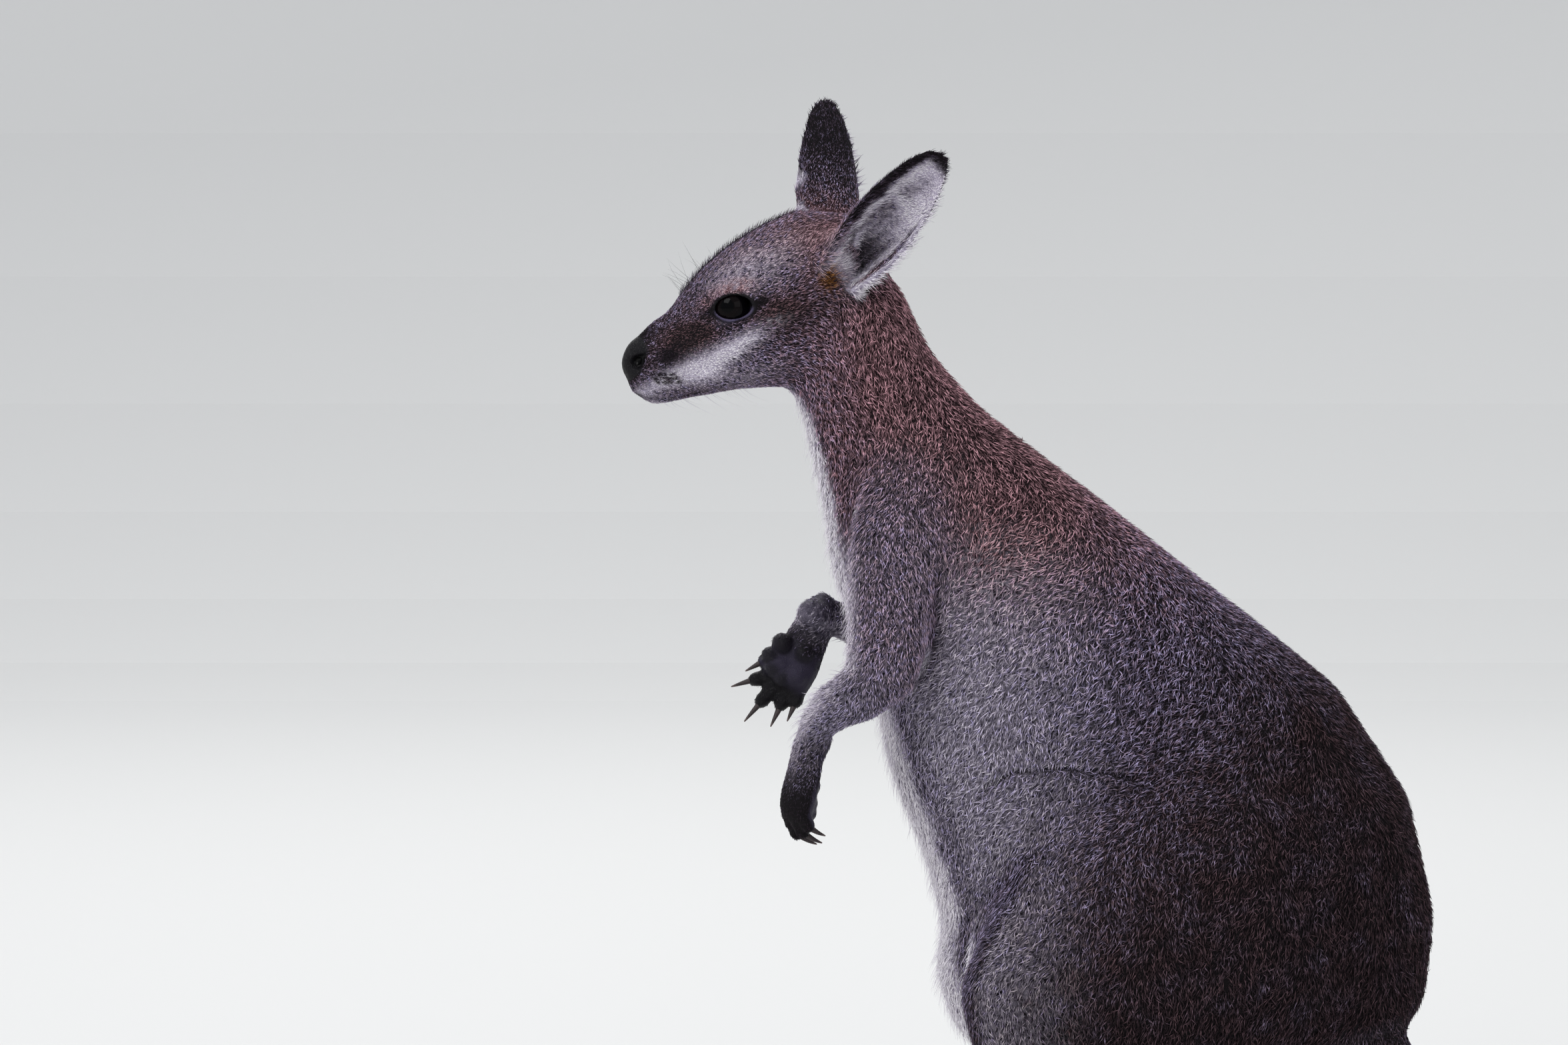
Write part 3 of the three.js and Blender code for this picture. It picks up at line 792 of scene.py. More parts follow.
# Where the skin keeps its fine faces, and within how far of them
FINE_NODES = ("head", "hand_l", "hand_r")
FINE_REACH, EAR_FINE_REACH = 4 * MM, 3 * MM
TOES = 0.35  # the share of a foot's length that its toes take up
IN_FOLD = 0.05  # how close to a fold its fine faces begin
THINNED = 0.12  # the share of the other faces that are kept


def fine_places(points):
    """Whether points are on the head, the ears, the hands, the toes or a fold."""
    fine = np.zeros(len(points), bool)
    for name in FINE_NODES:
        fine |= parts[name](points) < FINE_REACH
    for name, (field, _, _) in SMALL_FORMS.items():
        if name.startswith("ear"):
            fine |= field(points) < EAR_FINE_REACH
        if name.startswith("foot"):
            toes = points[:, 0] < field.low[0] + TOES * (field.high[0] - field.low[0])
            fine |= toes & (field(points) < FINE_REACH)
    return fine | (fold_depth(points)[1] > IN_FOLD)


def finest_places(points):
    """Whether points are on the eyelids, the nose, the mouth or the whisker pads."""
    a, s, u = head_places(points)
    along, up, out = eye_places(a, s, u)
    lids = (np.hypot(along / 1.3, up) < 11.5) & (out > -4)
    nose = (a < 15) & (a > -8) & (u > -40)
    mouth = (from_line(a, u, MOUTH_LINE) < 3.5) & (a < 60)
    whisker_pad = (a < 32) & (u > -25) & (u < -7)
    return lids | nose | mouth | whisker_pad


def refined(mesh):
    """The mesh with its finest places split in four."""
    bm = bmesh.new()
    bm.from_mesh(mesh)
    bm.verts.ensure_lookup_table()
    chosen = finest_places(points_of(mesh))
    edges = [e for e in bm.edges if chosen[e.verts[0].index] and chosen[e.verts[1].index]]
    bmesh.ops.subdivide_edges(bm, edges=edges, cuts=1, use_grid_fill=True)
    bmesh.ops.triangulate(bm, faces=[f for f in bm.faces if len(f.verts) > 3])
    made = bpy.data.meshes.new("skin")
    bm.to_mesh(made)
    bm.free()
    return made


def skin_made():
    """The skin: fine where it shows most, thinned out elsewhere, and settled on its field again."""
    points, quads = surface_of(skin_grid())
    points = settled(points)
    fine = fine_places(points)
    mesh = mesh_of("skin", points, quads)
    kept = fine.mean() + THINNED * (1 - fine.mean())
    mesh = with_modifier(mesh, "DECIMATE", ~fine, decimate_type="COLLAPSE", ratio=kept)
    mesh = refined(mesh)
    points = settled(points_of(mesh))
    mesh.vertices.foreach_set("co", points.ravel())
    mesh.update()
    return mesh


skin_mesh = skin_made()

# ---------------------------------------------------------------- what grows where

# For each region: the hair's length, width and spacing in mm, how far it stands off the skin and how far
# single hairs stray to the side, both in degrees
HAIR = {
    "head": (3.7, 0.46, 0.93, 15, 17),
    "neck": (6.6, 0.58, 1.16, 18, 24),
    "trunk": (7.4, 0.62, 1.42, 17, 27),
    "tail": (6.0, 0.80, 2.15, 13, 15),
    "arm": (6.0, 0.54, 1.20, 16, 21),
    "forearm": (4.8, 0.50, 1.06, 15, 17),
    "hand": (2.1, 0.36, 1.00, 12, 14),
    "leg": (7.2, 0.64, 1.46, 17, 25),
    "foot": (3.6, 0.62, 1.50, 11, 14),
    "ear": (2.3, 0.46, 0.88, 11, 17),
}
# A form that isn't named here is a region of its own
REGION_OF = {
    "tail_root": "tail", "tail_middle": "tail", "tail_tip": "tail",
    "upper_arm": "arm", "thigh": "leg", "shin": "leg",
}
TINTS = ("rust", "brown", "tan", "white", "black", "amber")  # of the hair, laid over each other in this order
MARKS = (*TINTS, "bare", "inside", "mauve")
EAR_SAY, EAR_SAY_ENDS = 60.0, (1.2 * MM, 3.5 * MM)  # how much an ear has to say close to its surface
EAR_TRACE, EAR_REACH = 1e-4, 0.011


def bare_name(node):
    """A node's name without its side."""
    return node[:-2] if node[-2:] in ("_l", "_r") else node


ears = {side: SMALL_FORMS[f"ear_{side}"][0] for side in SIDES}


def shares(points):
    """How much each CAD node has to say at each point: {node: weights}, which add up to 1."""
    fields = dict(parts) | {f"ear_{side}": field for side, field in ears.items()}
    away = {name: np.clip(field(points), -FAR, None) for name, field in fields.items()}
    near = {}
    for name, gap in away.items():
        near[name] = np.exp(-gap / MIXING) * (gap < KNOWN * fields[name].beyond) + 1e-9
    for side in SIDES:  # an ear is thin, so it speaks up for itself close to its surface
        gap = ears[side](points)
        near[f"ear_{side}"] = EAR_SAY * fading(gap, *EAR_SAY_ENDS) + EAR_TRACE * (gap < EAR_REACH)
    total = sum(near.values())
    return {name: value / total for name, value in near.items()}


def by_region(weights):
    """The shares of the nodes, added up by region."""
    found = {}
    for node, weight in weights.items():
        region = REGION_OF.get(bare_name(node), bare_name(node))
        found[region] = found.get(region, 0) + weight
    return found


WAVES = 12


def waves(points, shortest, longest, seed):
    """A smooth random value over the body, about -1 to 1, from waves of these lengths in metres."""
    random = np.random.default_rng(seed)
    ways = unit(random.normal(size=(WAVES, 3)))
    total = np.zeros(len(points))
    for onward, length in zip(ways, random.uniform(shortest, longest, WAVES)):
        total += np.sin(points @ onward * (2 * math.pi / length) + random.uniform(0, 2 * math.pi))
    return (total / math.sqrt(WAVES)).astype(np.float32)


# the way the hair lies on each form, before it is laid along the skin
LIES = {
    "neck": (0.12, 0, -0.99),
    "tail_root": (0.9, 0, -0.35),
    "tail_middle": (1, 0, -0.1),
    "tail_tip": (1, 0, 0),
    "thigh": (-0.22, 0, -0.97),
    "shin": (0.45, 0, -0.85),
    "foot": (-1, 0, -0.1),
    "upper_arm": (-0.08, 0, -1),
}
SPINE_LIE = np.array((0.55, 0, -0.84))
FLANK_LIE = np.array((0.05, 0, -1.0))
GROIN_LIE = np.array((-0.62, 0, -0.78))
SWIRL = 0.32  # radians by which the lie wanders over a few centimetres


def lie_of_coat(points, normals, weights):
    """The direction in which the hair lies, along the skin."""
    below_nose = -head_places(points)[2]
    flank = smoothstep(np.abs(normals[:, 1:2]), 0.35, 0.9)
    rear = smoothstep(points[:, :1], -0.20, -0.06)
    chest = smoothstep(points[:, 2:3], 0.37, 0.46)
    side = GROIN_LIE * (1 - rear) + FLANK_LIE * rear
    side = side * (1 - chest) + FLANK_LIE * chest
    trunk = SPINE_LIE * (1 - flank) + side * flank
    front = smoothstep(-normals[:, :1], 0.5, 0.95)
    trunk = trunk * (1 - front) + FLANK_LIE * front
    head = ALONG - 0.25 * UPWARD * smoothstep(below_nose, -6, 22)[:, None]
    total = np.zeros_like(points)
    for node, weight in weights.items():
        name, side_name = bare_name(node), node[-1]
        if name == "head":
            lie = head
        elif name == "trunk":
            lie = trunk
        elif name == "ear":
            _, _, along, opening, rear_way = ear_frames[side_name]
            inner = smoothstep(normals @ opening, 0.15, 0.5)[:, None]
            lie = along + inner * (0.75 * rear_way - 0.30 * along)
        elif name == "forearm":
            lie = unit(middle_of(f"hand_{side_name}") - middle_of(f"forearm_{side_name}"))
        elif name == "hand":
            lie = hand_frames[side_name][1]
        else:
            lie = np.array(LIES[name])
        total += weight[:, None] * lie
    swirl = SWIRL * waves(points, 0.03, 0.09, 21)[:, None] * (1 - 0.7 * weights["head"][:, None])
    total += swirl * np.cross(normals, unit(total))
    return along_skin(total, normals)


# ---------------------------------------------------------------- markings

# Marks on the head: the colour, its middle (along, out, up), its reach, and how strong it is
FACE_MARKS = [
    ("black", (0, 0, -3), (10, 12, 9), 1.6),
    ("black", (14, 0, 9), (17, 8, 5), 1.2),
    ("black", (24, 13, -5), (9, 8, 6), 1.1),
    ("rust", (31, 14, 1), (13, 10, 8), 0.9),
    ("brown", (32, 14, -1), (16, 10, 9), 0.9),
    ("rust", (42, 18, 1), (11, 9, 6), 1.0),
    ("brown", (46, 18, 3), (12, 9, 7), 0.6),
    # partly the dark skin at the corners of the eye, partly painted shade in the tear corner and the rear
    # corner of the opening
    ("black", (54, 22, 10.2), (6.0, 8, 2.3), 1.3),
    ("black", (78, 31, 7.4), (7.0, 8, 2.5), 1.3),
    ("rust", (53, 20, 15.5), (7, 9, 4), 0.7),
    ("white", (84, 20, 24), (22, 12, 10), 0.62),
    ("rust", (88, 33, -1), (12, 12, 8), 0.9),
    ("brown", (88, 33, -1), (13, 12, 9), 0.6),
    ("white", (5, 6, -20), (7, 9, 4.0), 0.75),
    ("white", (16, 12, -17), (7, 12, 3.8), 0.85),
    ("white", (27, 15, -17), (9, 12, 5.5), 1.3),
    ("white", (40, 18, -17.5), (10, 12, 6.8), 1.4),
    ("white", (54, 23, -13.5), (9, 12, 4.8), 1.3),
    ("white", (66, 28, -9.5), (9, 12, 3.8), 1.0),
    ("white", (80, 32, -5.5), (9, 12, 3.0), 0.3),
    ("black", (28, 11, -31), (17, 9, 3.0), 0.5),
    ("white", (56, 16, -29), (22, 14, 7), 0.25),
    ("tan", (69.5, 24, 18.6), (10.5, 10, 4.0), 2.0),
    ("tan", (82, 18, 30), (16, 14, 7), 0.55),
    ("tan", (112, 22, 33), (18, 18, 10), 0.6),
    ("rust", (124, 26, 28), (14, 18, 12), 0.75),
    ("brown", (97, 34, -10), (16, 14, 12), 0.75),
    ("brown", (119, 32, -7), (12, 14, 10), 0.75),
    ("white", (129, 36, 9), (6.0, 18, 11), 1.5),
    ("tan", (118, 34, 14), (10, 18, 9), 0.5),
    ("amber", (118.0, 38, 6), (5.0, 18, 6.0), 2.2),
    ("black", (119, 38, 5), (1.6, 18, 2.6), 0.9),
    ("white", (30, 0, -40), (30, 9, 5), 0.6),
    ("white", (8, 3, -28), (9, 6, 3.5), 0.6),
]
HEAD_TINT = {"rust": 0.30, "brown": 0.14}
CREST_START, CREST_END = (24, 46), (100, 118)  # where the dark line along the crown sets in and fades, mm
CREST_WIDTH = 5.0
SPOT_ROWS, SPOTS_IN_ROW = 3, 4
WHISKER_SPOTS = [
    (12.5 + 3.3 * j + 0.9 * k + 0.5 * (j % 2), -11.6 - 2.6 * k - 1.1 * j)
    for k in range(SPOT_ROWS)
    for j in range(SPOTS_IN_ROW)
]
SPOT_REACH = (1.3, 0.85)
SPOT_STRENGTH = 1.7
LID_RIM, LID_SHADE = 6.6, 3.0  # mm from the middle of the eye to the edge of the lids, and its dark rim
EYE_LONGER = 1.5  # how much longer the edge of the lids is than it is high


def eye_rim(a, s, u):
    """(how far points are from the edge of the lids, how far above the eye's middle), in mm."""
    along, up, _ = eye_places(a, s, u)
    return np.hypot((along - EYE_SHIFT) / EYE_LONGER, up) - LID_RIM, up


def face_markings(found, face, a, s, u):
    """Stripes, spots and rims of the face, the dark line along the crown, painted shade along the mouth, and
    dark eye corners that are partly painted shade.
    """
    for name, middle, reaches, strength in FACE_MARKS:
        found[name] += face * strength * mound((a, s, u), middle, reaches)
    for name, strength in HEAD_TINT.items():
        found[name] += face * strength
    crest = smoothstep(a, *CREST_START) * fading(a, *CREST_END)
    found["black"] += face * 0.9 * crest * bell(s, CREST_WIDTH) * smoothstep(u, 0, 12)
    for spot in WHISKER_SPOTS:
        found["black"] += SPOT_STRENGTH * face * mound((a, u), spot, SPOT_REACH)
    rim, up = eye_rim(a, s, u)
    shade = LID_SHADE * (0.45 + 0.55 * smoothstep(-up, -4, 2))  # little of it above the eye
    found["black"] += face * 1.5 * fading(rim, 0.3, shade)
    # painted shade along the crease of the mouth
    found["black"] += face * 0.35 * bell(from_line(a, u, MOUTH_LINE), 1.2) * fading(a, 18, 36)


RUSTY_NAPE = ((400, 470, 560), (-305, -345, -375))  # the middle of the rusty nape: heights and x, mm
NAPE_REACH = 60


def body_markings(found, points, normals, regions):
    """White of throat and belly, the rusty nape, the back darker towards the lower rear (partly painted shade),
    painted shade in the folds, and the tail's and feet's colours.
    """
    x, z = points[:, 0] / MM, points[:, 2] / MM
    mottle = waves(points, 0.009, 0.028, 22)
    trunk, neck, leg = regions["trunk"], regions["neck"], regions["leg"]
    throat = normals @ np.array((-0.55, 0, -0.83))
    behind_chin = smoothstep(head_places(points)[0], 40, 70)
    found["white"] += 0.9 * regions["head"] * smoothstep(throat, 0.80, 0.97) * behind_chin
    belly = normals @ np.array((-0.95, 0, -0.31)) + 0.02 * mottle
    found["white"] += 1.8 * (neck + trunk) * smoothstep(belly, 0.80, 0.91)
    inner = smoothstep(-np.sign(points[:, 1]) * normals[:, 1], 0.25, 0.60) * fading(x, -290, -230)
    found["white"] += 1.2 * leg * inner * smoothstep(z, 50, 90)
    under = smoothstep(-normals[:, 2], 0.30, 0.65) * fading(x, -260, -200)
    cleft = smoothstep(x, -306, -292) * fading(np.abs(points[:, 1]) / MM, 50, 64)
    cleft *= fading(x, -280, -230)
    found["white"] += trunk * (1.3 * under + 0.9 * cleft * fading(z, 190, 240))
    side = smoothstep(np.abs(normals[:, 1]), 0.4, 0.9)
    found["white"] += 0.46 * trunk * side * fading(x, -340, -225) * fading(z, 350, 430)
    found["white"] += 0.16 * (regions["forearm"] + 0.5 * regions["arm"])
    found["white"] += 0.30 * leg * side * fading(x, -320, -250)
    found["white"] += 0.7 * regions["tail"] * smoothstep(-normals[:, 2], 0.3, 0.8)
    front = (regions["arm"] + regions["forearm"]) * smoothstep(-normals[:, 0], 0.5, 0.9)
    front *= fading(z, 370, 415)
    found["white"] += 0.75 * front
    found["tan"] += 0.4 * front
    nape_x = np.interp(z, *RUSTY_NAPE)
    nape = np.exp(-(((x - nape_x) ** 2 + (z - np.clip(z, 430, 570)) ** 2) / NAPE_REACH**2))
    found["rust"] += (neck + trunk + 0.4 * regions["head"]) * 0.75 * nape
    found["rust"] += 0.40 * (neck + regions["arm"]) + 0.45 * trunk * smoothstep(z, 320, 430) + 0.12 * trunk
    # darker towards the lower rear: partly the coat's own brown, partly painted shade on the rump and the lower
    # back
    backward = x + 235 - 0.9 * z
    dark = smoothstep(backward, -365, -140)
    found["brown"] += (trunk + leg) * dark
    found["black"] += (trunk + leg) * 0.35 * smoothstep(backward, -260, -80)
    found["brown"] += 0.5 * regions["tail"] + 0.2 * regions["forearm"] + 0.9 * regions["foot"]
    found["brown"] += 0.13 * mottle * (trunk + neck + leg + regions["arm"])
    found["tan"] += 0.22 * leg * (1 - dark) * side
    toes = smoothstep(-x, 310, 355)
    found["black"] += regions["foot"] * (0.35 + 0.6 * toes)
    tail_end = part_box("tail_tip")[1][0] / MM
    found["black"] += regions["tail"] * smoothstep(x, tail_end - 190, tail_end - 20) * 0.85
    # painted shade: the folds of the skin are darkened along their creases
    found["black"] += 0.45 * fold_depth(points)[1] * (1 - regions["hand"])


def hand_markings(found, points, weights):
    """Black hands that pale into the forearms."""
    for side in SIDES:
        along = in_hand(points, side)[0] / MM
        own = weights[f"hand_{side}"] + weights[f"forearm_{side}"]
        found["black"] += own * smoothstep(along, 0, 27)
        found["brown"] += own * smoothstep(along, -24, 4) * 0.5
        found["white"] += 0.35 * own * bell(along, 7) * (side == "r")


# Places of the head seen from the side: the middle (along, up) and the reaches, mm
EAR_TUFT = (129.5, 9.5), (6.0, 11.0)
EAR_NOTCH = (115.0, 8.5), (7.0, 7.0)
NOSTRIL = (8.0, -3.2), (3.0, 2.6)
NOSTRIL_SLIT = (11.3, -1.4), (2.2, 1.4)
BELOW_EYE = (58.5, 2.4), (6.5, 2.4)

ear_rims = {side: ear_widths(side) for side in SIDES}


def ear_places(points, side):
    """(share of the ear's length from its root, mm from its front rim, mm from its rear rim) of points."""
    base, tip, axis, _, rear = ear_frames[side]
    t = (points - base) @ axis / np.linalg.norm(tip - base)
    marks, front_edge, rear_edge = ear_rims[side]
    across = (points - base) @ rear
    from_front = across - np.interp(t, marks, front_edge)
    from_rear = np.interp(t, marks, rear_edge) - across
    return t, from_front / MM, from_rear / MM


def ear_markings(found, points, normals, weights):
    """Dark backs and tips, and inside each ear a white rim, pale hair and a darker middle."""
    for side, (_, _, axis, opening, _) in ear_frames.items():
        share = weights[f"ear_{side}"]
        t, from_front, from_rear = ear_places(points, side)
        inner = smoothstep(normals @ opening, 0.15, 0.5) * share
        back = share - inner
        found["inside"] += inner
        centre = inner * smoothstep(from_front, 8, 13) * smoothstep(from_rear, 4, 9) * fading(t, 0.7, 0.95)
        across = points - (points @ axis)[:, None] * axis * 0.85
        centre *= np.clip(0.85 + 0.55 * waves(across, 0.004, 0.010, 24), 0, 1.3)
        found["black"] += back * (0.05 + 0.83 * smoothstep(t, 0.28, 0.70))
        found["black"] += inner * smoothstep(t, 0.84, 0.95)
        rim = inner * fading(from_front, 4.5, 7.5) * smoothstep(t, 0.15, 0.35)
        found["black"] += rim * (side == "l")
        edge = 0.9 * share * fading(from_front, 0.3, 1.7) * fading(t, 0.65, 0.85)
        found["white"] += edge * (side == "r")
        found["black"] += 0.8 * centre * fading(t, 0.10, 0.40)
        found["brown"] += 0.40 * centre
        found["white"] += inner * fading(t, 0.86, 0.96) * smoothstep(from_front, 4.5, 8.5)
        found["white"] -= 0.62 * centre * (1 - 0.6 * smoothstep(t, 0.35, 0.8))
        found["tan"] += back * fading(t, 0.0, 0.45) * 0.6
        found["rust"] += back * fading(t, 0.02, 0.25) * 0.7


def markings(points, normals, weights):
    """How strong each tint is at each point, how bare the skin is, and what lies inside an opening."""
    regions = by_region(weights)
    a, s, u = head_places(points)
    found = {name: np.zeros(len(points), np.float32) for name in MARKS}
    face = regions["head"] + regions["ear"]
    ear_markings(found, points, normals, weights)
    seen = (a, u)
    found["inside"] += face * mound(seen, *EAR_TUFT)
    for name in ("white", "inside"):
        found[name] *= 1 - face * mound(seen, *EAR_NOTCH)
    face_markings(found, face, a, s, u)
    body_markings(found, points, normals, regions)
    hand_markings(found, points, weights)
    rim, up = eye_rim(a, s, u)
    below = mound(seen, *BELOW_EYE) * regions["head"]
    found["mauve"] = regions["head"] * bell(rim - 0.1, 0.8) * smoothstep(-up, 0, 3)
    found["mauve"] += 0.45 * below
    for side in SIDES:
        # the wrist knob is painted mauve: painted sheen on its smooth dark skin; between the pads the skin is
        # paler
        pale = np.maximum(0.32 * (1 - on_pads(points, side)), 0.6 * on_knob(points, side))
        found["mauve"] += weights[f"hand_{side}"] * pale
    nose = fading(np.hypot((a - 0.45 * u - 2.0) / 12.3, (u + 0.5) / 11.8), 0.90, 1.04)
    lips = bell(from_line(a, u, MOUTH_LINE), MOUTH_WIDTH) * fading(a, 1, 5)
    lids = fading(rim, 0.2, 1.6)
    nostril = np.minimum(1, 1.3 * mound(seen, *NOSTRIL) + mound(seen, *NOSTRIL_SLIT))
    # the insides of the nostrils are painted near black: painted shade in their hollows
    found["inside"] += regions["head"] * nostril * (u > -12)
    found["bare"] = regions["head"] * (nose * (u > -17) + lips + lids) + 0.6 * below
    found["bare"] += palms(points, normals, weights)
    return {name: np.clip(value, 0, 1).astype(np.float32) for name, value in found.items()}


def on_knob(points, side):
    """1 on the knob at the wrist."""
    return fading(in_hand(points, side)[0] / MM, 5, 8)


def on_pads(points, side):
    """1 on the pads of the palm, 0 between them."""
    places = np.stack(in_hand(points, side), axis=1) / MM
    found = np.zeros(len(points), np.float32)
    for *centre, radius in list(PALM_PADS.values())[1:]:
        away = np.linalg.norm(places - centre, axis=1) / radius
        found = np.maximum(found, fading(away, 0.8, 1.25))
    return np.maximum(found, smoothstep(places[:, 0], 34, 42))


def palms(points, normals, weights):
    """The bare skin of the palms and the soles."""
    found = np.zeros(len(points), np.float32)
    for side, (_, _, _, palm) in hand_frames.items():
        along = in_hand(points, side)[0] / MM
        pads = smoothstep(along, 12, 20) + fading(along, 5, 8)
        found += weights[f"hand_{side}"] * smoothstep(normals @ palm, 0.0, 0.4) * np.clip(pads, 0.25, 1)
        found += weights[f"foot_{side}"] * smoothstep(-normals[:, 2], 0.6, 0.9)
    return found


# ---------------------------------------------------------------- tufts

ROOT_CELL = 0.006  # roots are spread over the skin cell by cell, so that none of it stays thin


class Growth:
    """The skin's triangles with all that a tuft needs to know about its root."""

    def __init__(self, mesh):
        self.points = points_of(mesh)
        self.triangles = triangles_of(mesh)
        self.normals = rows_of(mesh.vertices, "normal")
        self.weights = shares(self.points)
        self.regions = by_region(self.weights)
        self.marks = markings(self.points, self.normals, self.weights)
        self.lies = lie_of_coat(self.points, self.normals, self.weights)
        a, b, c = (self.points[self.triangles[:, i]] for i in range(3))
        self.areas = np.linalg.norm(np.cross(b - a, c - a), axis=1) / 2

    def habit(self, column):
        """A column of HAIR, blended over the regions."""
        return sum(self.regions[name] * HAIR[name][column] for name in HAIR).astype(np.float32)

    def roots(self, density, seed):
        """Triangles and shares of their corners for roots spread evenly at a density per square metre."""
        random = np.random.default_rng(seed)
        wanted = self.areas * density[self.triangles].mean(1)
        order = np.lexsort(tuple(np.floor(self.points[self.triangles[:, 0]] / ROOT_CELL).T))
        reached = np.cumsum(wanted[order])
        count = int(reached[-1])
        marks = (np.arange(count) + random.random(count)) / count * reached[-1]
        chosen = order[np.minimum(np.searchsorted(reached, marks), len(order) - 1)]
        p, q = random.random(count), random.random(count)
        flip = p + q > 1
        p[flip], q[flip] = 1 - p[flip], 1 - q[flip]
        return chosen, np.stack((1 - p - q, p, q), axis=1).astype(np.float32)

    def at(self, values, roots):
        """Values of the skin's points, read at the roots."""
        chosen, corners = roots
        picked = values[self.triangles[chosen]]
        return np.einsum("ij,ij...->i...", corners, picked)


growth = Growth(skin_mesh)


def mark_mesh(mesh, values):
    """Named values on the points of a mesh."""
    for name, value in values.items():
        made = mesh.attributes.new(name, "FLOAT", "POINT")
        made.data.foreach_set("value", np.ascontiguousarray(value, np.float32))


# Along a tuft: (how far from root to tip, share of the full width). A share of 0 is a point.
SHORT_TUFT = ((0, 0), (0.55, 1), (1, 0))
LONG_TUFT = ((0, 0.5), (0.3, 1), (0.65, 0.75), (1, 0))
EAR_TUFT_SHAPE = ((0, 0.5), (0.4, 1), (1, 0))
FLOWING_TUFT = ((0, 0.6), (0.2, 1), (0.45, 0.9), (0.7, 0.65), (1, 0))
WHISKER = ((0, 1), (0.15, 0.95), (0.3, 0.85), (0.5, 0.7), (0.75, 0.45), (1, 0))


def tuft_faces(profile):
    """The triangles of one tuft, and how far along it each of its points lies."""
    sizes = [3 if share else 1 for _, share in profile]
    faces = [(0, 1, 2)] if sizes[0] == 3 else []
    low = 0
    for size, next_size in zip(sizes[:-1], sizes[1:]):
        high = low + size
        for i, j in ((0, 2), (2, 1), (1, 0)):
            if size == 3:
                faces.append((low + i, low + j, high + (j if next_size == 3 else 0)))
            if next_size == 3:
                faces.append((low + (i if size == 3 else 0), high + j, high + i))
        low = high
    reaches = np.repeat([t for t, _ in profile], sizes)
    return np.array(faces), reaches.astype(np.float32)


CURL = 0.5  # radians by which a tuft may turn aside on its way
CURL_START = 0.3  # how far along a tuft its curl crosses its lie
FLOOR_GAP = 0.3 * MM  # hair stays this far above the floor
SUNK = 0.3 * MM  # how far below the skin a tuft starts
TUFT_THICKNESS = 0.45  # of its width
PATCH_RIDGE = 0.12  # on the map a ridge is a little ahead of its edges, so that no face is without width


def tuft_mesh(
    name, roots, normals, lies, lengths, widths, lifts, scatter, marks, seed, profile=SHORT_TUFT, droop=0.5
):
    """Closed tapering tufts with a three-sided section, which bend down towards the skin on their way."""
    random = np.random.default_rng(seed)
    count = len(roots)
    aside = np.cross(normals, lies)
    turn = (random.normal(0, 1, count) * scatter)[:, None]
    curl = random.normal(0, CURL, count)[:, None]
    rings, spots, ridges, place, before = [], [], [], roots - normals * SUNK, 0.0
    for t, share in profile:
        lift = (lifts * (1 - droop * (t + before) / 2))[:, None]
        angle = turn + curl * ((t + before) / 2 - CURL_START)
        onward = lies * np.cos(angle) + aside * np.sin(angle)
        across = aside * np.cos(angle) - lies * np.sin(angle)
        place = place + (onward * np.cos(lift) + normals * np.sin(lift)) * lengths[:, None] * (t - before)
        before = t
        if share:
            half = across * widths[:, None] * share / 2
            outward = normals * np.cos(lift) - onward * np.sin(lift)
            rise = outward * widths[:, None] * share * TUFT_THICKNESS
            rings.append(np.stack((place + half, place - half, place + rise), axis=1))
            spots += [(share / 2, t), (-share / 2, t), (0, t + PATCH_RIDGE)]
            ridges += [0, 0, 1]
        else:
            rings.append(place[:, None, :])
            spots.append((0, t))
            ridges.append(0.5)
    points = np.concatenate(rings, axis=1)
    points[..., 2] = np.maximum(points[..., 2], FLOOR_GAP)
    per = points.shape[1]
    faces, reaches = tuft_faces(profile)
    faces = (np.arange(count)[:, None, None] * per + faces[None]).reshape(-1, 3)
    mesh = mesh_of(name, points.reshape(-1, 3), faces)
    values = {key: np.repeat(value, per) for key, value in marks.items()}
    values["reach"] = np.tile(reaches, count)
    # 0 on a tuft's sides and 1 on its ridge, for the painted shade on its sides
    values["ridge"] = np.tile(ridges, count)
    values["strand"] = np.repeat(random.random(count).astype(np.float32), per)
    mark_mesh(mesh, values)
    lay_on_map(mesh, roots, np.array(spots) - (0, 0.5), faces)
    return mesh


# On the map each tuft is a small patch at its root's place on an unwrap of the skin's own shape
PATCH = 0.003
ROUGH_FACES = 9000
ISLAND_MARGIN = 0.004
SEAM_ANGLE = math.radians(66)

rough = with_modifier(
    skin_mesh.copy(), "DECIMATE", decimate_type="COLLAPSE", ratio=ROUGH_FACES / len(skin_mesh.polygons)
)
rough_points, rough_faces = points_of(rough), triangles_of(rough)
rough_tree = BVHTree.FromPolygons(rough_points.tolist(), rough_faces.tolist())


def unwrapped(faces):
    """The corners of these faces of the rough skin on a flat map of their own."""
    mesh = mesh_of("unwrap", rough_points, rough_faces[faces])
    holder = bpy.data.objects.new("unwrap", mesh)
    bpy.context.scene.collection.objects.link(holder)
    bpy.ops.object.select_all(action="DESELECT")
    holder.select_set(True)
    bpy.context.view_layer.objects.active = holder
    bpy.ops.object.mode_set(mode="EDIT")
    bpy.ops.mesh.select_all(action="SELECT")
    bpy.ops.uv.smart_project(angle_limit=SEAM_ANGLE, island_margin=ISLAND_MARGIN)
    bpy.ops.object.mode_set(mode="OBJECT")
    corners = rows_of(mesh.uv_layers.active.uv, "vector", 2)
    bpy.data.objects.remove(holder)
    bpy.data.meshes.remove(mesh)
    return corners.reshape(-1, 3, 2)


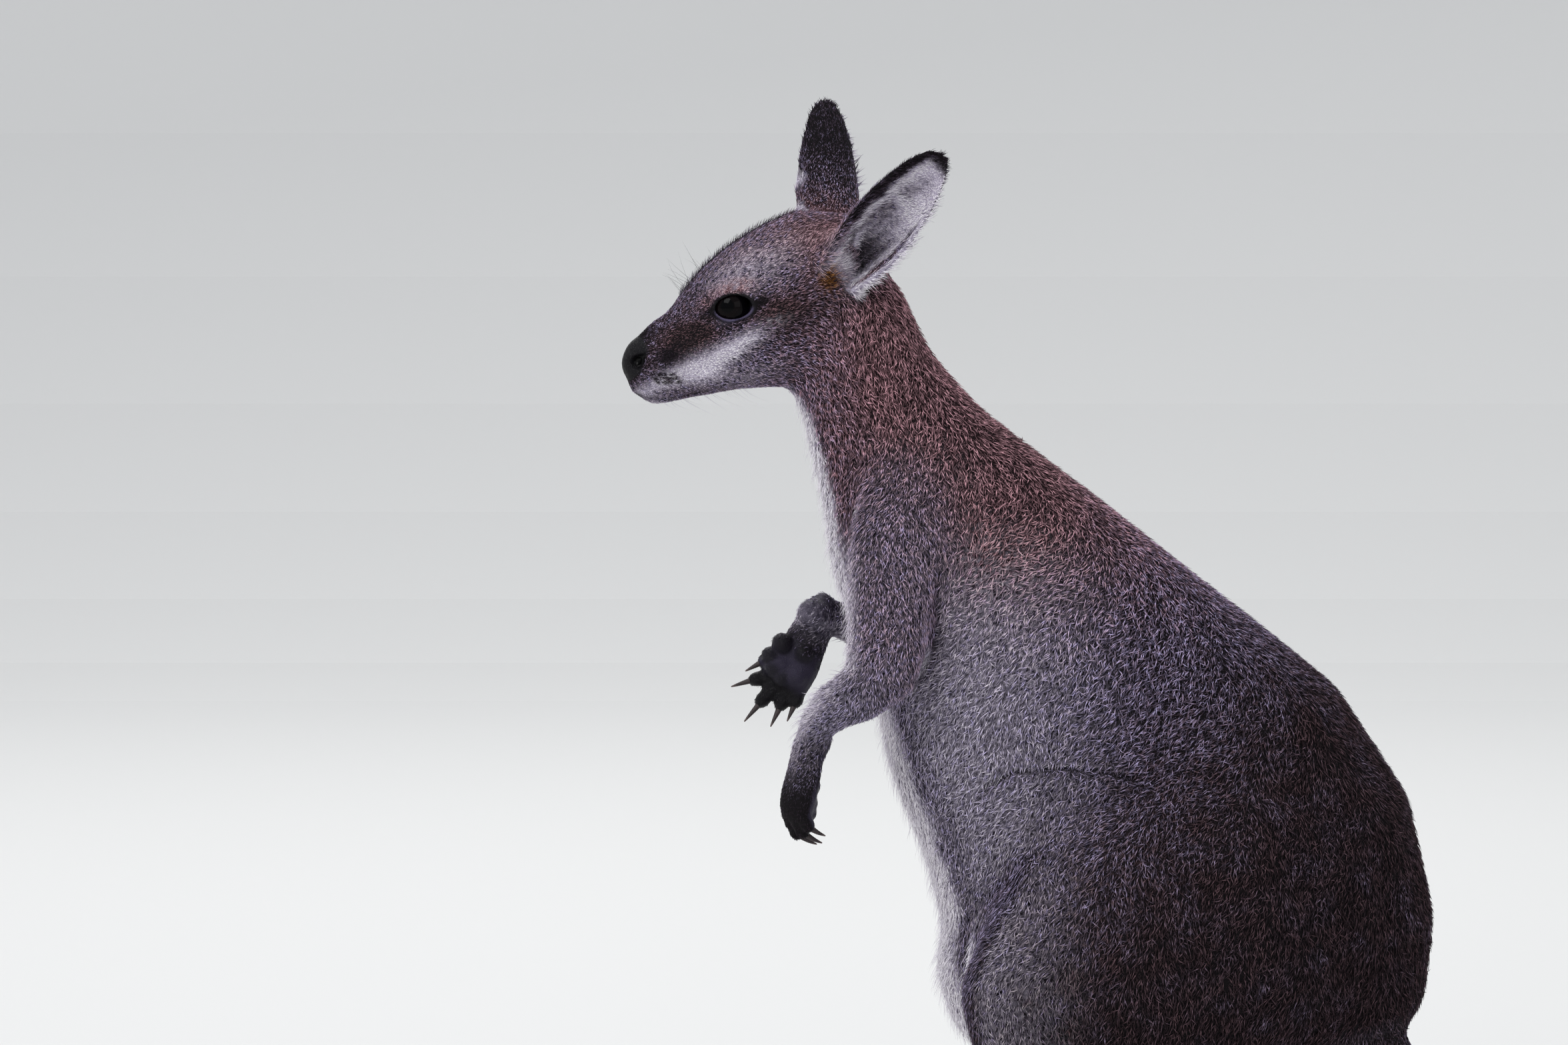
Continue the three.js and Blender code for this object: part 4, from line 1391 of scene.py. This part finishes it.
def lay_on_map(mesh, roots, spots, faces):
    """The map OFBake: every tuft's spots on its patch, which lies at its root's place on the unwrap."""
    found = [rough_tree.find_nearest(root) for root in roots.tolist()]
    used, which = np.unique([face for _, _, face, _ in found], return_inverse=True)
    place = np.array([tuple(spot) for spot, _, _, _ in found])
    a, b, c = (rough_points[rough_faces[used[which], i]] for i in range(3))
    whole = np.cross(b - a, c - a)
    size = np.maximum(np.sum(whole * whole, axis=1), 1e-18)
    to_b = np.sum(np.cross(place - a, c - a) * whole, axis=1) / size
    to_c = np.sum(np.cross(b - a, place - a) * whole, axis=1) / size
    shares_of = np.stack((1 - to_b - to_c, to_b, to_c), axis=1)
    centre = np.einsum("ij,ijk->ik", shares_of, unwrapped(used)[which])
    centre = PATCH + centre * (1 - 2 * PATCH)
    points = (centre[:, None] + PATCH * spots[None]).reshape(-1, 2)
    points = points[faces.ravel()].astype(np.float32)
    mesh.uv_layers.new(name="OFBake").uv.foreach_set("vector", points.ravel())


# How much single tufts differ from their region's: the least and the most, as shares
LENGTHS, WIDTHS, LIFTS = (0.72, 1.25), (0.75, 1.2), (0.5, 1.5)
HABIT_SEED = 500


def grow(name, density, habit, seed, profile=SHORT_TUFT, droop=0.5):
    """One piece of the coat from the skin's own roots; its habit is length, width, lift and scatter."""
    roots = growth.roots(density, seed)
    random = np.random.default_rng(seed + HABIT_SEED)
    count = len(roots[0])
    length, width, lift, scatter = (growth.at(np.broadcast_to(v, left.shape), roots) for v in habit)
    mesh = tuft_mesh(
        name,
        growth.at(growth.points, roots),
        unit(growth.at(growth.normals, roots)),
        unit(growth.at(growth.lies, roots)),
        length * MM * random.uniform(*LENGTHS, count),
        width * MM * random.uniform(*WIDTHS, count),
        np.radians(lift) * random.uniform(*LIFTS, count),
        np.radians(scatter),
        {key: growth.at(growth.marks[key], roots) for key in TINTS},
        seed,
        profile,
        droop,
    )
    piece(name, mesh, FUR)


# ---------------------------------------------------------------- materials

def feed(tree, socket, value):
    if isinstance(value, bpy.types.NodeSocket):
        tree.links.new(value, socket)
    elif value is not None:
        socket.default_value = value


def maths(tree, operation, a, b=None, clamp=False):
    node = tree.nodes.new("ShaderNodeMath")
    node.operation = operation
    node.use_clamp = clamp
    feed(tree, node.inputs[0], a)
    feed(tree, node.inputs[1], b)
    return node.outputs[0]


def mixed(tree, share, a, b):
    node = tree.nodes.new("ShaderNodeMix")
    node.data_type = "RGBA"
    feed(tree, node.inputs[0], share)
    feed(tree, node.inputs[6], a)
    feed(tree, node.inputs[7], b)
    return node.outputs[2]


def ramped(tree, value, start, end):
    node = tree.nodes.new("ShaderNodeMapRange")
    node.interpolation_type = "SMOOTHSTEP"
    for socket, given in zip(node.inputs[:5], (value, start, end, 0.0, 1.0)):
        feed(tree, socket, given)
    return node.outputs[0]


def read(tree, name):
    """A value that the mesh carries."""
    return add(tree, "Attribute", attribute_name=name).outputs["Fac"]


def textured(tree, kind, **values):
    """A texture that sits on the object's own places."""
    node = add(tree, kind, **values)
    tree.links.new(add(tree, "TexCoord").outputs["Object"], node.inputs["Vector"])
    return node


def linear(value):
    """A display value from 0 to 255 as an amount of light."""
    share = value / 255
    return ((share + 0.055) / 1.055) ** 2.4 if value > 10 else share / 12.92


def rgb(r, g, b):
    return linear(r), linear(g), linear(b), 1.0


def group_of(name, inputs, outputs):
    """A shader node group with its named sockets: (tree, inputs, outputs)."""
    tree = bpy.data.node_groups.new(name, "ShaderNodeTree")
    kinds = {float: "NodeSocketFloat", tuple: "NodeSocketColor"}
    for title, value in inputs.items():
        socket = tree.interface.new_socket(name=title, in_out="INPUT", socket_type=kinds[type(value)])
        socket.default_value = value
    for title, kind in outputs.items():
        tree.interface.new_socket(name=title, in_out="OUTPUT", socket_type="NodeSocket" + kind)
    return tree, tree.nodes.new("NodeGroupInput").outputs, tree.nodes.new("NodeGroupOutput").inputs


# The root and tip of a hair in each tint; the first row is the plain grizzled coat
COAT_COLOURS = {
    # the pale tips' lavender cast is partly painted sheen of cool light
    "grey": (rgb(12, 7, 15), rgb(212, 200, 244)),
    "rust": (rgb(30, 13, 15), rgb(230, 176, 186)),
    "brown": (rgb(11, 6, 8), rgb(110, 85, 90)),
    "tan": (rgb(98, 65, 70), rgb(246, 206, 214)),
    "white": (rgb(188, 179, 199), rgb(255, 251, 255)),
    "black": (rgb(7, 4, 7), rgb(58, 47, 58)),
    "amber": (rgb(60, 28, 12), rgb(206, 146, 84)),
}
CLUMPS, CLUMPING = 430.0, 8.0  # how fine the clumps of hair are, and how unevenly they take a weak tint
DARK_SPAN, PALE_SPAN = 0.20, 0.60  # how far below and above "Dark strands" they turn from dark to pale
PALE_BAND = (0.10, 0.56)  # how far along a hair its pale band sets in
ALL_BANDED = 0.18  # how strong the band is on the darkest strands
SIDE_SHADE_RAMP = (-0.85, 1.0)  # the rise over a tuft's sides (0) and ridge (1): painted shade on its sides, which leaves its ridge lighter


def coat_colour_group():
    """The colour of hair: dark at the root, banded pale towards the tip, changed by each tint, and with painted
    shade along the sides of each tuft.
    """
    inputs = {name.capitalize(): 0.0 for name in TINTS}
    inputs |= {"Strand": 0.5, "Reach": 0.5, "Ridge": 1.0, "Dark strands": 0.30}
    tree, given, out = group_of("coat colour", inputs, {"Color": "Color"})
    root, tip = COAT_COLOURS["grey"]
    clumps = textured(tree, "TexNoise", Scale=CLUMPS, Detail=2.0)
    swing = maths(tree, "MULTIPLY", maths(tree, "SUBTRACT", clumps.outputs["Fac"], 0.5), CLUMPING)
    for name in TINTS:
        mark = given[name.capitalize()]
        room = maths(tree, "MULTIPLY", mark, maths(tree, "SUBTRACT", 1.0, mark))
        mark = maths(tree, "ADD", mark, maths(tree, "MULTIPLY", room, swing), clamp=True)
        root = mixed(tree, mark, root, COAT_COLOURS[name][0])
        tip = mixed(tree, mark, tip, COAT_COLOURS[name][1])
    darkest = maths(tree, "SUBTRACT", given["Dark strands"], DARK_SPAN)
    pale = ramped(tree, given["Strand"], darkest, maths(tree, "ADD", given["Dark strands"], PALE_SPAN))
    white = maths(tree, "POWER", given["White"], 2.0)
    always = maths(tree, "MAXIMUM", white, maths(tree, "MULTIPLY", given["Tan"], 0.4), clamp=True)
    pale = maths(tree, "MAXIMUM", pale, always)
    band = ramped(tree, given["Reach"], *PALE_BAND)
    share = maths(tree, "MULTIPLY", pale, band)
    share = maths(tree, "MAXIMUM", share, maths(tree, "MULTIPLY", band, ALL_BANDED))
    # painted shade darkens the sides of each tuft
    share = maths(tree, "MULTIPLY", share, ramped(tree, given["Ridge"], *SIDE_SHADE_RAMP))
    tree.links.new(mixed(tree, share, root, tip), out["Color"])
    return tree


COAT_COLOUR = coat_colour_group()


def coat_colour(tree, strand, reach, ridge, dark_strands):
    """The coat's colour, with the tints that the mesh carries."""
    node = add(tree, "Group", node_tree=COAT_COLOUR)
    for name in TINTS:
        feed(tree, node.inputs[name.capitalize()], read(tree, name))
    given = {"Strand": strand, "Reach": reach, "Ridge": ridge, "Dark strands": dark_strands}
    for title, value in given.items():
        feed(tree, node.inputs[title], value)
    return node.outputs["Color"]


def fur_material():
    """Dull hair, banded along each tuft."""
    material, tree, surface = finish_of("fur", Roughness=0.7, Specular_IOR_Level=0.12)
    colour = coat_colour(tree, read(tree, "strand"), read(tree, "reach"), read(tree, "ridge"), 0.36)
    tree.links.new(colour, surface.inputs["Base Color"])
    return material


UNDER_SHADE, PALE_SHADE = 0.45, 0.20  # painted shade of the hair on the skin under the coat, and how much less of it under pale hair
SHADE_TOP, SHADE_SWING = 2.1, 2.2  # how that painted shade changes from hair to hair
LEATHER_SHINE = 0.57  # how much smoother bare skin is than coat
LEATHER_RELIEF = 0.0004


def skin_material():
    """Skin under the coat, which shows between the hairs under painted shade, with bare black leather on nose,
    lids and palms.
    """
    material, tree, surface = finish_of("skin", Specular_IOR_Level=0.16)
    hairs = textured(tree, "TexNoise", Scale=1100.0, Detail=3.0).outputs["Fac"]
    coat = coat_colour(tree, 0.55, ramped(tree, hairs, 0.47, 0.90), 1.0, 0.3)
    tan = maths(tree, "MULTIPLY", read(tree, "tan"), 0.7)
    light = maths(tree, "MAXIMUM", read(tree, "white"), tan, clamp=True)
    # painted shade: the skin between the hairs is darkened, less under pale hair, and unevenly from hair to
    # hair
    shade = maths(tree, "SUBTRACT", UNDER_SHADE, maths(tree, "MULTIPLY", light, PALE_SHADE))
    swing = maths(tree, "SUBTRACT", SHADE_TOP, maths(tree, "MULTIPLY", hairs, SHADE_SWING))
    shade = maths(tree, "MULTIPLY", shade, swing, clamp=True)
    coat = mixed(tree, shade, coat, rgb(10, 7, 10))
    bare = read(tree, "bare")
    cells = textured(tree, "TexVoronoi", feature="DISTANCE_TO_EDGE", Scale=1300.0)
    crease = ramped(tree, cells.outputs["Distance"], 0.0, 0.25)
    # painted shade: the creases between the cells of the leather are darker
    leather = mixed(tree, crease, rgb(3, 2, 4), rgb(15, 12, 18))
    opening = read(tree, "inside")
    # what lies inside the nostrils is painted near black: painted shade
    leather = mixed(tree, opening, leather, rgb(1, 1, 1))
    # mauve skin of the lids, below the eyes and on the hands, with painted sheen on the wrist knob
    leather = mixed(tree, read(tree, "mauve"), leather, rgb(80, 73, 98))
    tree.links.new(mixed(tree, bare, coat, leather), surface.inputs["Base Color"])
    gloss = maths(tree, "SUBTRACT", 0.85, maths(tree, "MULTIPLY", bare, LEATHER_SHINE))
    tree.links.new(gloss, surface.inputs["Roughness"])
    grain = maths(tree, "MULTIPLY", crease, maths(tree, "SUBTRACT", bare, opening, clamp=True))
    height = maths(tree, "ADD", grain, maths(tree, "MULTIPLY", hairs, 0.6))
    with_relief(tree, surface, height, Strength=0.5, Distance=LEATHER_RELIEF)
    return material


mark_mesh(skin_mesh, growth.marks)
piece("skin", skin_mesh, skin_material(), list(FLESH) + ["ear_l", "ear_r"])

FUR = fur_material()

# ---------------------------------------------------------------- the coat

# How much shorter, slimmer and denser the hair is on the face, and on the muzzle once more
FACE_ENDS, MUZZLE_ENDS = (25, 95), (18, 62)  # mm from the nose, where that fades
FACE_SHORT, FACE_SLIM, FACE_DENSE = 0.30, 0.16, 0.28
MUZZLE_SHORT, MUZZLE_SLIM, MUZZLE_DENSE = 0.14, 0.06, 0.72

a, s, u = head_places(growth.points)
face = growth.regions["head"] * fading(a, *FACE_ENDS)
muzzle = growth.regions["head"] * fading(a, *MUZZLE_ENDS)
furred = np.clip(1 - 1.4 * growth.marks["bare"], 0, 1)
furred *= fading(growth.marks["inside"], 0.2, 0.6)
length, width, spacing, lift, scatter = (growth.habit(i) for i in range(5))
length *= (1 - FACE_SHORT * face) * (1 - MUZZLE_SHORT * muzzle)
width *= (1 - FACE_SLIM * face) * (1 - MUZZLE_SLIM * muzzle)
density = furred * (1 + FACE_DENSE * face) * (1 + MUZZLE_DENSE * muzzle) / (spacing * MM) ** 2

left = growth.points[:, 1] < 0
dominant = np.array(list(growth.regions))[np.argmax(np.stack(list(growth.regions.values())), axis=0)]
on_trunk, on_leg = dominant == "trunk", dominant == "leg"
chest = growth.points[:, 2] > sum(v[2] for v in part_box("trunk")) / 2
COATS = {  # piece: (where it grows, its slot)
    "coat_head": (dominant == "head", "coat"),
    "coat_neck": (dominant == "neck", "nape"),
    "coat_chest_l": (on_trunk & left & chest, "coat"),
    "coat_chest_r": (on_trunk & ~left & chest, "coat"),
    "coat_flank_l": (on_trunk & left & ~chest, "coat"),
    "coat_flank_r": (on_trunk & ~left & ~chest, "coat"),
    "coat_tail": (dominant == "tail", "coat"),
    "coat_arms": (np.isin(dominant, ["arm", "forearm"]), "coat"),
    "coat_hands": (dominant == "hand", "paw"),
    "coat_leg_l": (on_leg & left, "coat"),
    "coat_leg_r": (on_leg & ~left, "coat"),
    "coat_feet": (dominant == "foot", "paw"),
    "coat_ears": (dominant == "ear", "ear"),
}
FIRST_SEED = 100
for number, (name, (where, slot)) in enumerate(COATS.items()):
    grow(name, density * where, (length, width, lift, scatter), FIRST_SEED + number)


def ear_hair_lengths():
    """mm: long on the rims inside the ear, short in its middle and towards its tip."""
    lengths = np.full(len(growth.points), 5.0, np.float32)
    for side in SIDES:
        own = growth.weights[f"ear_{side}"] > 0.3
        t, from_front, from_rear = ear_places(growth.points[own], side)
        rim = bell(from_front - 6, 5.0) + 0.8 * bell(from_rear - 2, 4.0)
        lengths[own] = (3.5 + 4.6 * rim) * (1 - 0.62 * smoothstep(t, 0.55, 0.95))
    return lengths


# Longer hair inside the ears and on their rims, on throat, belly and arms, and along the crown: tufts to the
# square metre
EAR_HAIRS, RIM_HAIRS, BELLY_HAIRS, ARM_HAIRS, CREST_HAIRS = 1.15e6, 0.9e6, 0.13e6, 0.15e6, 1.1e6
ear_density = EAR_HAIRS * smoothstep(growth.marks["inside"], 0.2, 0.6) * 1
ear_density *= 1 - growth.marks["bare"]
grow("ear_hair", ear_density, (ear_hair_lengths(), 0.48, 16, 14), 300, EAR_TUFT_SHAPE)

rims = np.zeros(len(growth.points), np.float32)
for side in SIDES:
    t, from_front, _ = ear_places(growth.points, side)
    own = smoothstep(growth.weights[f"ear_{side}"], 0.5, 0.9) * smoothstep(t, 0.15, 0.3)
    rims += own * np.maximum(bell(from_front - 1, 2.2), smoothstep(t, 0.90, 0.97))
grow("ear_rims", RIM_HAIRS * smoothstep(rims, 0.4, 0.8), (3.8, 0.34, 24, 16), 303, EAR_TUFT_SHAPE)

white_front = growth.marks["white"] * smoothstep(growth.regions["neck"] + growth.regions["trunk"], 0.5, 0.9)
belly_edge = smoothstep(white_front, 0.35, 0.8)
arm_front = smoothstep(growth.regions["arm"] + growth.regions["forearm"], 0.5, 0.9)
arm_front *= smoothstep(-growth.normals[:, 0], 0.45, 0.9) * (1 - growth.marks["black"])
fringe = BELLY_HAIRS * belly_edge + ARM_HAIRS * arm_front * (1 - belly_edge)
grow("belly_fringe", fringe, (10 + 2 * belly_edge, 0.33, 33, 16), 301, FLOWING_TUFT, 0.7)

crown = (s < 2.4) & (a > 40) & (a < 122) & (u > 8)
grow("crest", CREST_HAIRS * growth.regions["head"] * crown, (4.6, 0.34, 46, 14), 302, LONG_TUFT)

# ---------------------------------------------------------------- eyes

GAZE = {side: unit(np.array((-0.22, sign, 0.10))) for side, sign in SIDES.items()}
BALL_GAP = 0.3 * MM  # between the eye's solid and the ball
CORNEA_BULGE, CORNEA_REACH = 0.045, 0.62
# radians from the line of sight over which one gives way to the next
PUPIL_EDGE, IRIS_EDGE = (0.33, 0.41), (0.64, 0.86)


def eyeball(side):
    """A smooth ball with a bulging cornea; each point knows its angle from the line of sight."""
    rings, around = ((40, 56))
    gaze = GAZE[side]
    right = unit(np.cross(gaze, (0, 0, 1)))
    above = np.cross(right, gaze)
    angles = np.linspace(0, math.pi, rings + 1)[1:-1]
    turns = np.arange(around) / around * 2 * math.pi
    angle, turn = (v.ravel() for v in np.meshgrid(angles, turns, indexing="ij"))
    angle = np.concatenate([angle, [0, math.pi]])
    turn = np.concatenate([turn, [0, 0]])
    aside = np.cos(turn)[:, None] * right + np.sin(turn)[:, None] * above
    ways = np.cos(angle)[:, None] * gaze + np.sin(angle)[:, None] * aside
    radius = (EYE_RADIUS - BALL_GAP) * (1 + CORNEA_BULGE * bell(angle, CORNEA_REACH))
    points = eye_centres[side] + ways * radius[:, None]
    front, back = len(points) - 2, len(points) - 1
    faces = []
    for j in range(around):
        k = (j + 1) % around
        faces.append((front, j, k))
        for i in range(rings - 2):
            b, c = i * around, (i + 1) * around
            faces += [(b + j, c + j, c + k), (b + j, c + k, b + k)]
        last = (rings - 2) * around
        faces.append((back, last + k, last + j))
    mesh = mesh_of(f"eyeball_{side}", points, faces)
    mark_mesh(mesh, {"gaze": angle})
    if rows_of(mesh.polygons, "normal")[0] @ gaze < 0:
        mesh.flip_normals()
    return mesh


def eye_material():
    """A wet dark eye: black pupil, mottled brown iris, dark edge."""
    material, tree, surface = finish_of("wet dark eye", Roughness=0.06, Specular_IOR_Level=0.065)
    gaze = read(tree, "gaze")
    mottle = textured(tree, "TexNoise", Scale=700.0, Detail=3.0)
    iris = mixed(tree, mottle.outputs["Fac"], rgb(3, 2, 3), rgb(15, 9, 10))
    colour = mixed(tree, ramped(tree, gaze, *PUPIL_EDGE), rgb(2, 2, 3), iris)
    colour = mixed(tree, ramped(tree, gaze, *IRIS_EDGE), colour, rgb(4, 3, 5))
    tree.links.new(colour, surface.inputs["Base Color"])
    return material


EYE = eye_material()
for side in SIDES:
    piece(f"eyeball_{side}", eyeball(side), EYE, [f"eye_{side}"])

# ---------------------------------------------------------------- claws

CLAW_ROOTING = 0.30  # how far each claw is lengthened back into its digit
CLAW_THICKER = {"hand": 0.35, "foot": 0.1}  # smoothing thins the claws, and this makes up for it
ROOTING_FROM = 0.45  # how far from the tip, as a share of its length, a claw begins to be lengthened


def claw_mesh(names, limb):
    """The claws of one hand or foot as smooth horn, rooted in their digits."""
    bm = bmesh.new()
    for name in names:
        points, triangles = solid(name)
        _, base, tip = CLAWS[name]
        back = (points - tip) @ unit(base - tip) / np.linalg.norm(base - tip)
        out = (points - tip) - np.outer(back, base - tip)
        rooted = np.clip((back - ROOTING_FROM) / (1 - ROOTING_FROM), 0, 1)
        moved = points + rooted[:, None] * (base - tip) * CLAW_ROOTING
        moved += out * CLAW_THICKER[limb[:4]] * np.clip(back * 2, 0, 1)[:, None]
        verts = [bm.verts.new(p) for p in moved]
        for a, b, c in triangles:
            bm.faces.new((verts[a], verts[b], verts[c]))
    bmesh.ops.remove_doubles(bm, verts=bm.verts, dist=1e-5)
    bmesh.ops.join_triangles(bm, faces=bm.faces, angle_face_threshold=0.6, angle_shape_threshold=0.8)
    mesh = bpy.data.meshes.new("claws")
    bm.to_mesh(mesh)
    bm.free()
    mesh = with_modifier(mesh, "SUBSURF", levels=2, render_levels=2)
    points = points_of(mesh)
    bases, tips = (np.array(ends) for ends in zip(*[CLAWS[name][1:] for name in names]))
    gap = np.stack([np.linalg.norm(points - middle, axis=1) for middle in (bases + tips) / 2])
    nearest = gap.argmin(0)
    tip = tips[nearest]
    axis = bases[nearest] - tip
    along = np.sum((points - tip) * axis, axis=1) / np.sum(axis * axis, axis=1)
    mark_mesh(mesh, {"along": along})
    return mesh


def horn_material():
    """Dark grained horn, worn paler towards the tip."""
    material, tree, surface = finish_of("dark horn")
    grain = textured(tree, "TexNoise", Scale=1500.0, Detail=4.0).outputs["Fac"]
    dark = mixed(tree, grain, rgb(22, 16, 18), rgb(64, 52, 52))
    colour = mixed(tree, ramped(tree, read(tree, "along"), 0.35, 0.0), dark, rgb(96, 82, 78))
    tree.links.new(colour, surface.inputs["Base Color"])
    tree.links.new(maths(tree, "MULTIPLY_ADD", grain, 0.25), surface.inputs["Roughness"])
    with_relief(tree, surface, grain, Strength=0.3, Distance=0.0002)
    return material


HORN = horn_material()
for limb in ("hand_l", "hand_r", "foot_l", "foot_r"):
    names = [n for n, (owner, _, _) in CLAWS.items() if owner == limb]
    piece(f"claws_{limb}", claw_mesh(names, limb), HORN, names)

# ---------------------------------------------------------------- whiskers and lashes


def head_point(a, s, u, sign):
    """Where a place of the head is: along, out to the side of this sign, and up, in mm."""
    return NOSE_TIP + a * MM * ALONG + u * MM * UPWARD + np.array((0, sign * s * MM, 0))


# Single hairs of the face: the root (along, out, up) and the length, in mm
LIP_HAIRS = [(a, 14, u, 9 + 0.9 * a) for a, u in WHISKER_SPOTS]
BROW_HAIRS = [
    (44, 15, 17, 20), (47, 16, 18, 24), (50, 16, 19, 28), (53, 17, 20, 25),
    (56, 17, 21, 29), (60, 18, 22, 22), (64, 18, 23, 18),
]
CHIN_HAIRS = [(12 + 3.7 * i, 3 + 4 * (i % 3), -34, 9 + 4.5 * ((i * 5) % 4)) for i in range(13)]
CHEEK_HAIRS = [(82, 30, -12, 18), (86, 31, -15, 22), (90, 31, -13, 20), (78, 29, -16, 16)]

skin_tree = BVHTree.FromPolygons(growth.points.tolist(), growth.triangles.tolist())


HAIR_TINT = 0.9  # how strong the tint of a single hair is
HAIR_SCATTER = 13  # degrees


def face_hairs(name, rows, onward, stand, width, tint, seed, droop=0.9):
    """Single stiff hairs on both sides, which point onward (along, up) and stand off by an angle."""
    roots, normals = [], []
    for sign in SIDES.values():
        for a, s, u, _ in rows:
            hit, normal, _, _ = skin_tree.find_nearest(head_point(a, s, u, sign).tolist())
            roots.append(np.array(hit))
            normals.append(np.array(normal))
    roots, normals = np.array(roots, np.float32), np.array(normals, np.float32)
    count = len(roots)
    lies = along_skin(np.tile(onward[0] * ALONG + onward[1] * UPWARD, (count, 1)), normals)
    marks = {key: np.full(count, HAIR_TINT if key == tint else 0, np.float32) for key in TINTS}
    lengths = np.tile([row[3] * MM for row in rows], 2)
    widths, lifts, scatter = (
        np.full(count, v) for v in (width * MM, math.radians(stand), math.radians(HAIR_SCATTER))
    )
    mesh = tuft_mesh(
        name, roots, normals, lies, lengths, widths, lifts, scatter, marks, seed, WHISKER, droop
    )
    piece(name, mesh, FUR)


face_hairs("whiskers_lip", LIP_HAIRS, (0.9, -0.5), 36, 0.16, "brown", 7)
face_hairs("whiskers_brow", BROW_HAIRS, (-0.45, 0.9), 40, 0.16, "black", 9, 0.4)
face_hairs("whiskers_chin", CHIN_HAIRS, (0.7, -0.7), 50, 0.18, "white", 10, 0.5)
face_hairs("whiskers_cheek", CHEEK_HAIRS, (0.8, -0.6), 35, 0.20, "black", 11)


LASHES, LASHES_START, LASHES_END = 22, 0.18, 0.9  # on each lid: their number, and where on its half turn
LASH_ARCH = (1.02, 1.1)  # the line of the lashes, as shares of the opening's length and height
LID_BALL = 11.4  # mm from the middle of the eye to the face of the lid
LASH_LENGTH, LASH_WIDTH, LASH_LIFT, LASH_SCATTER = 3.8 * MM, 0.28 * MM, 1.0, 0.15
LASH_TILT, LASH_FAN, LASH_RISE = 0.15, 9, 0.35  # how they look up, spread to the corners and rise


def lashes():
    """Short stiff hairs along the upper lids."""
    roots, normals, lies = [], [], []
    length, height = EYE_OPENING
    for sign in SIDES.values():
        for turn in math.pi * np.linspace(LASHES_START, LASHES_END, LASHES):
            along = math.cos(turn) * length * LASH_ARCH[0] + EYE_SHIFT
            up = math.sin(turn) * height * LASH_ARCH[1]
            a = EYE_ALONG / MM + along * math.cos(EYE_SLANT) - up * math.sin(EYE_SLANT)
            u = EYE_UP / MM + along * math.sin(EYE_SLANT) + up * math.cos(EYE_SLANT)
            out = math.sqrt(max(LID_BALL**2 - along**2 - up**2, 0)) + EYE_OUT / MM
            roots.append(head_point(a, out, u, sign))
            normals.append((0, sign, LASH_TILT))
            lies.append(unit(ALONG * (along / LASH_FAN) + UPWARD * LASH_RISE))
    roots, normals, lies = (np.array(v, np.float32) for v in (roots, normals, lies))
    normals = unit(normals)
    lies = along_skin(lies, normals)
    count = len(roots)
    marks = {name: np.full(count, name == "black", np.float32) for name in TINTS}
    lengths, widths, lifts, scatter = (
        np.full(count, v) for v in (LASH_LENGTH, LASH_WIDTH, LASH_LIFT, LASH_SCATTER)
    )
    return tuft_mesh(
        "lashes", roots, normals, lies, lengths, widths, lifts, scatter, marks, 8, FLOWING_TUFT, 0.6
    )


piece("lashes", lashes(), FUR)
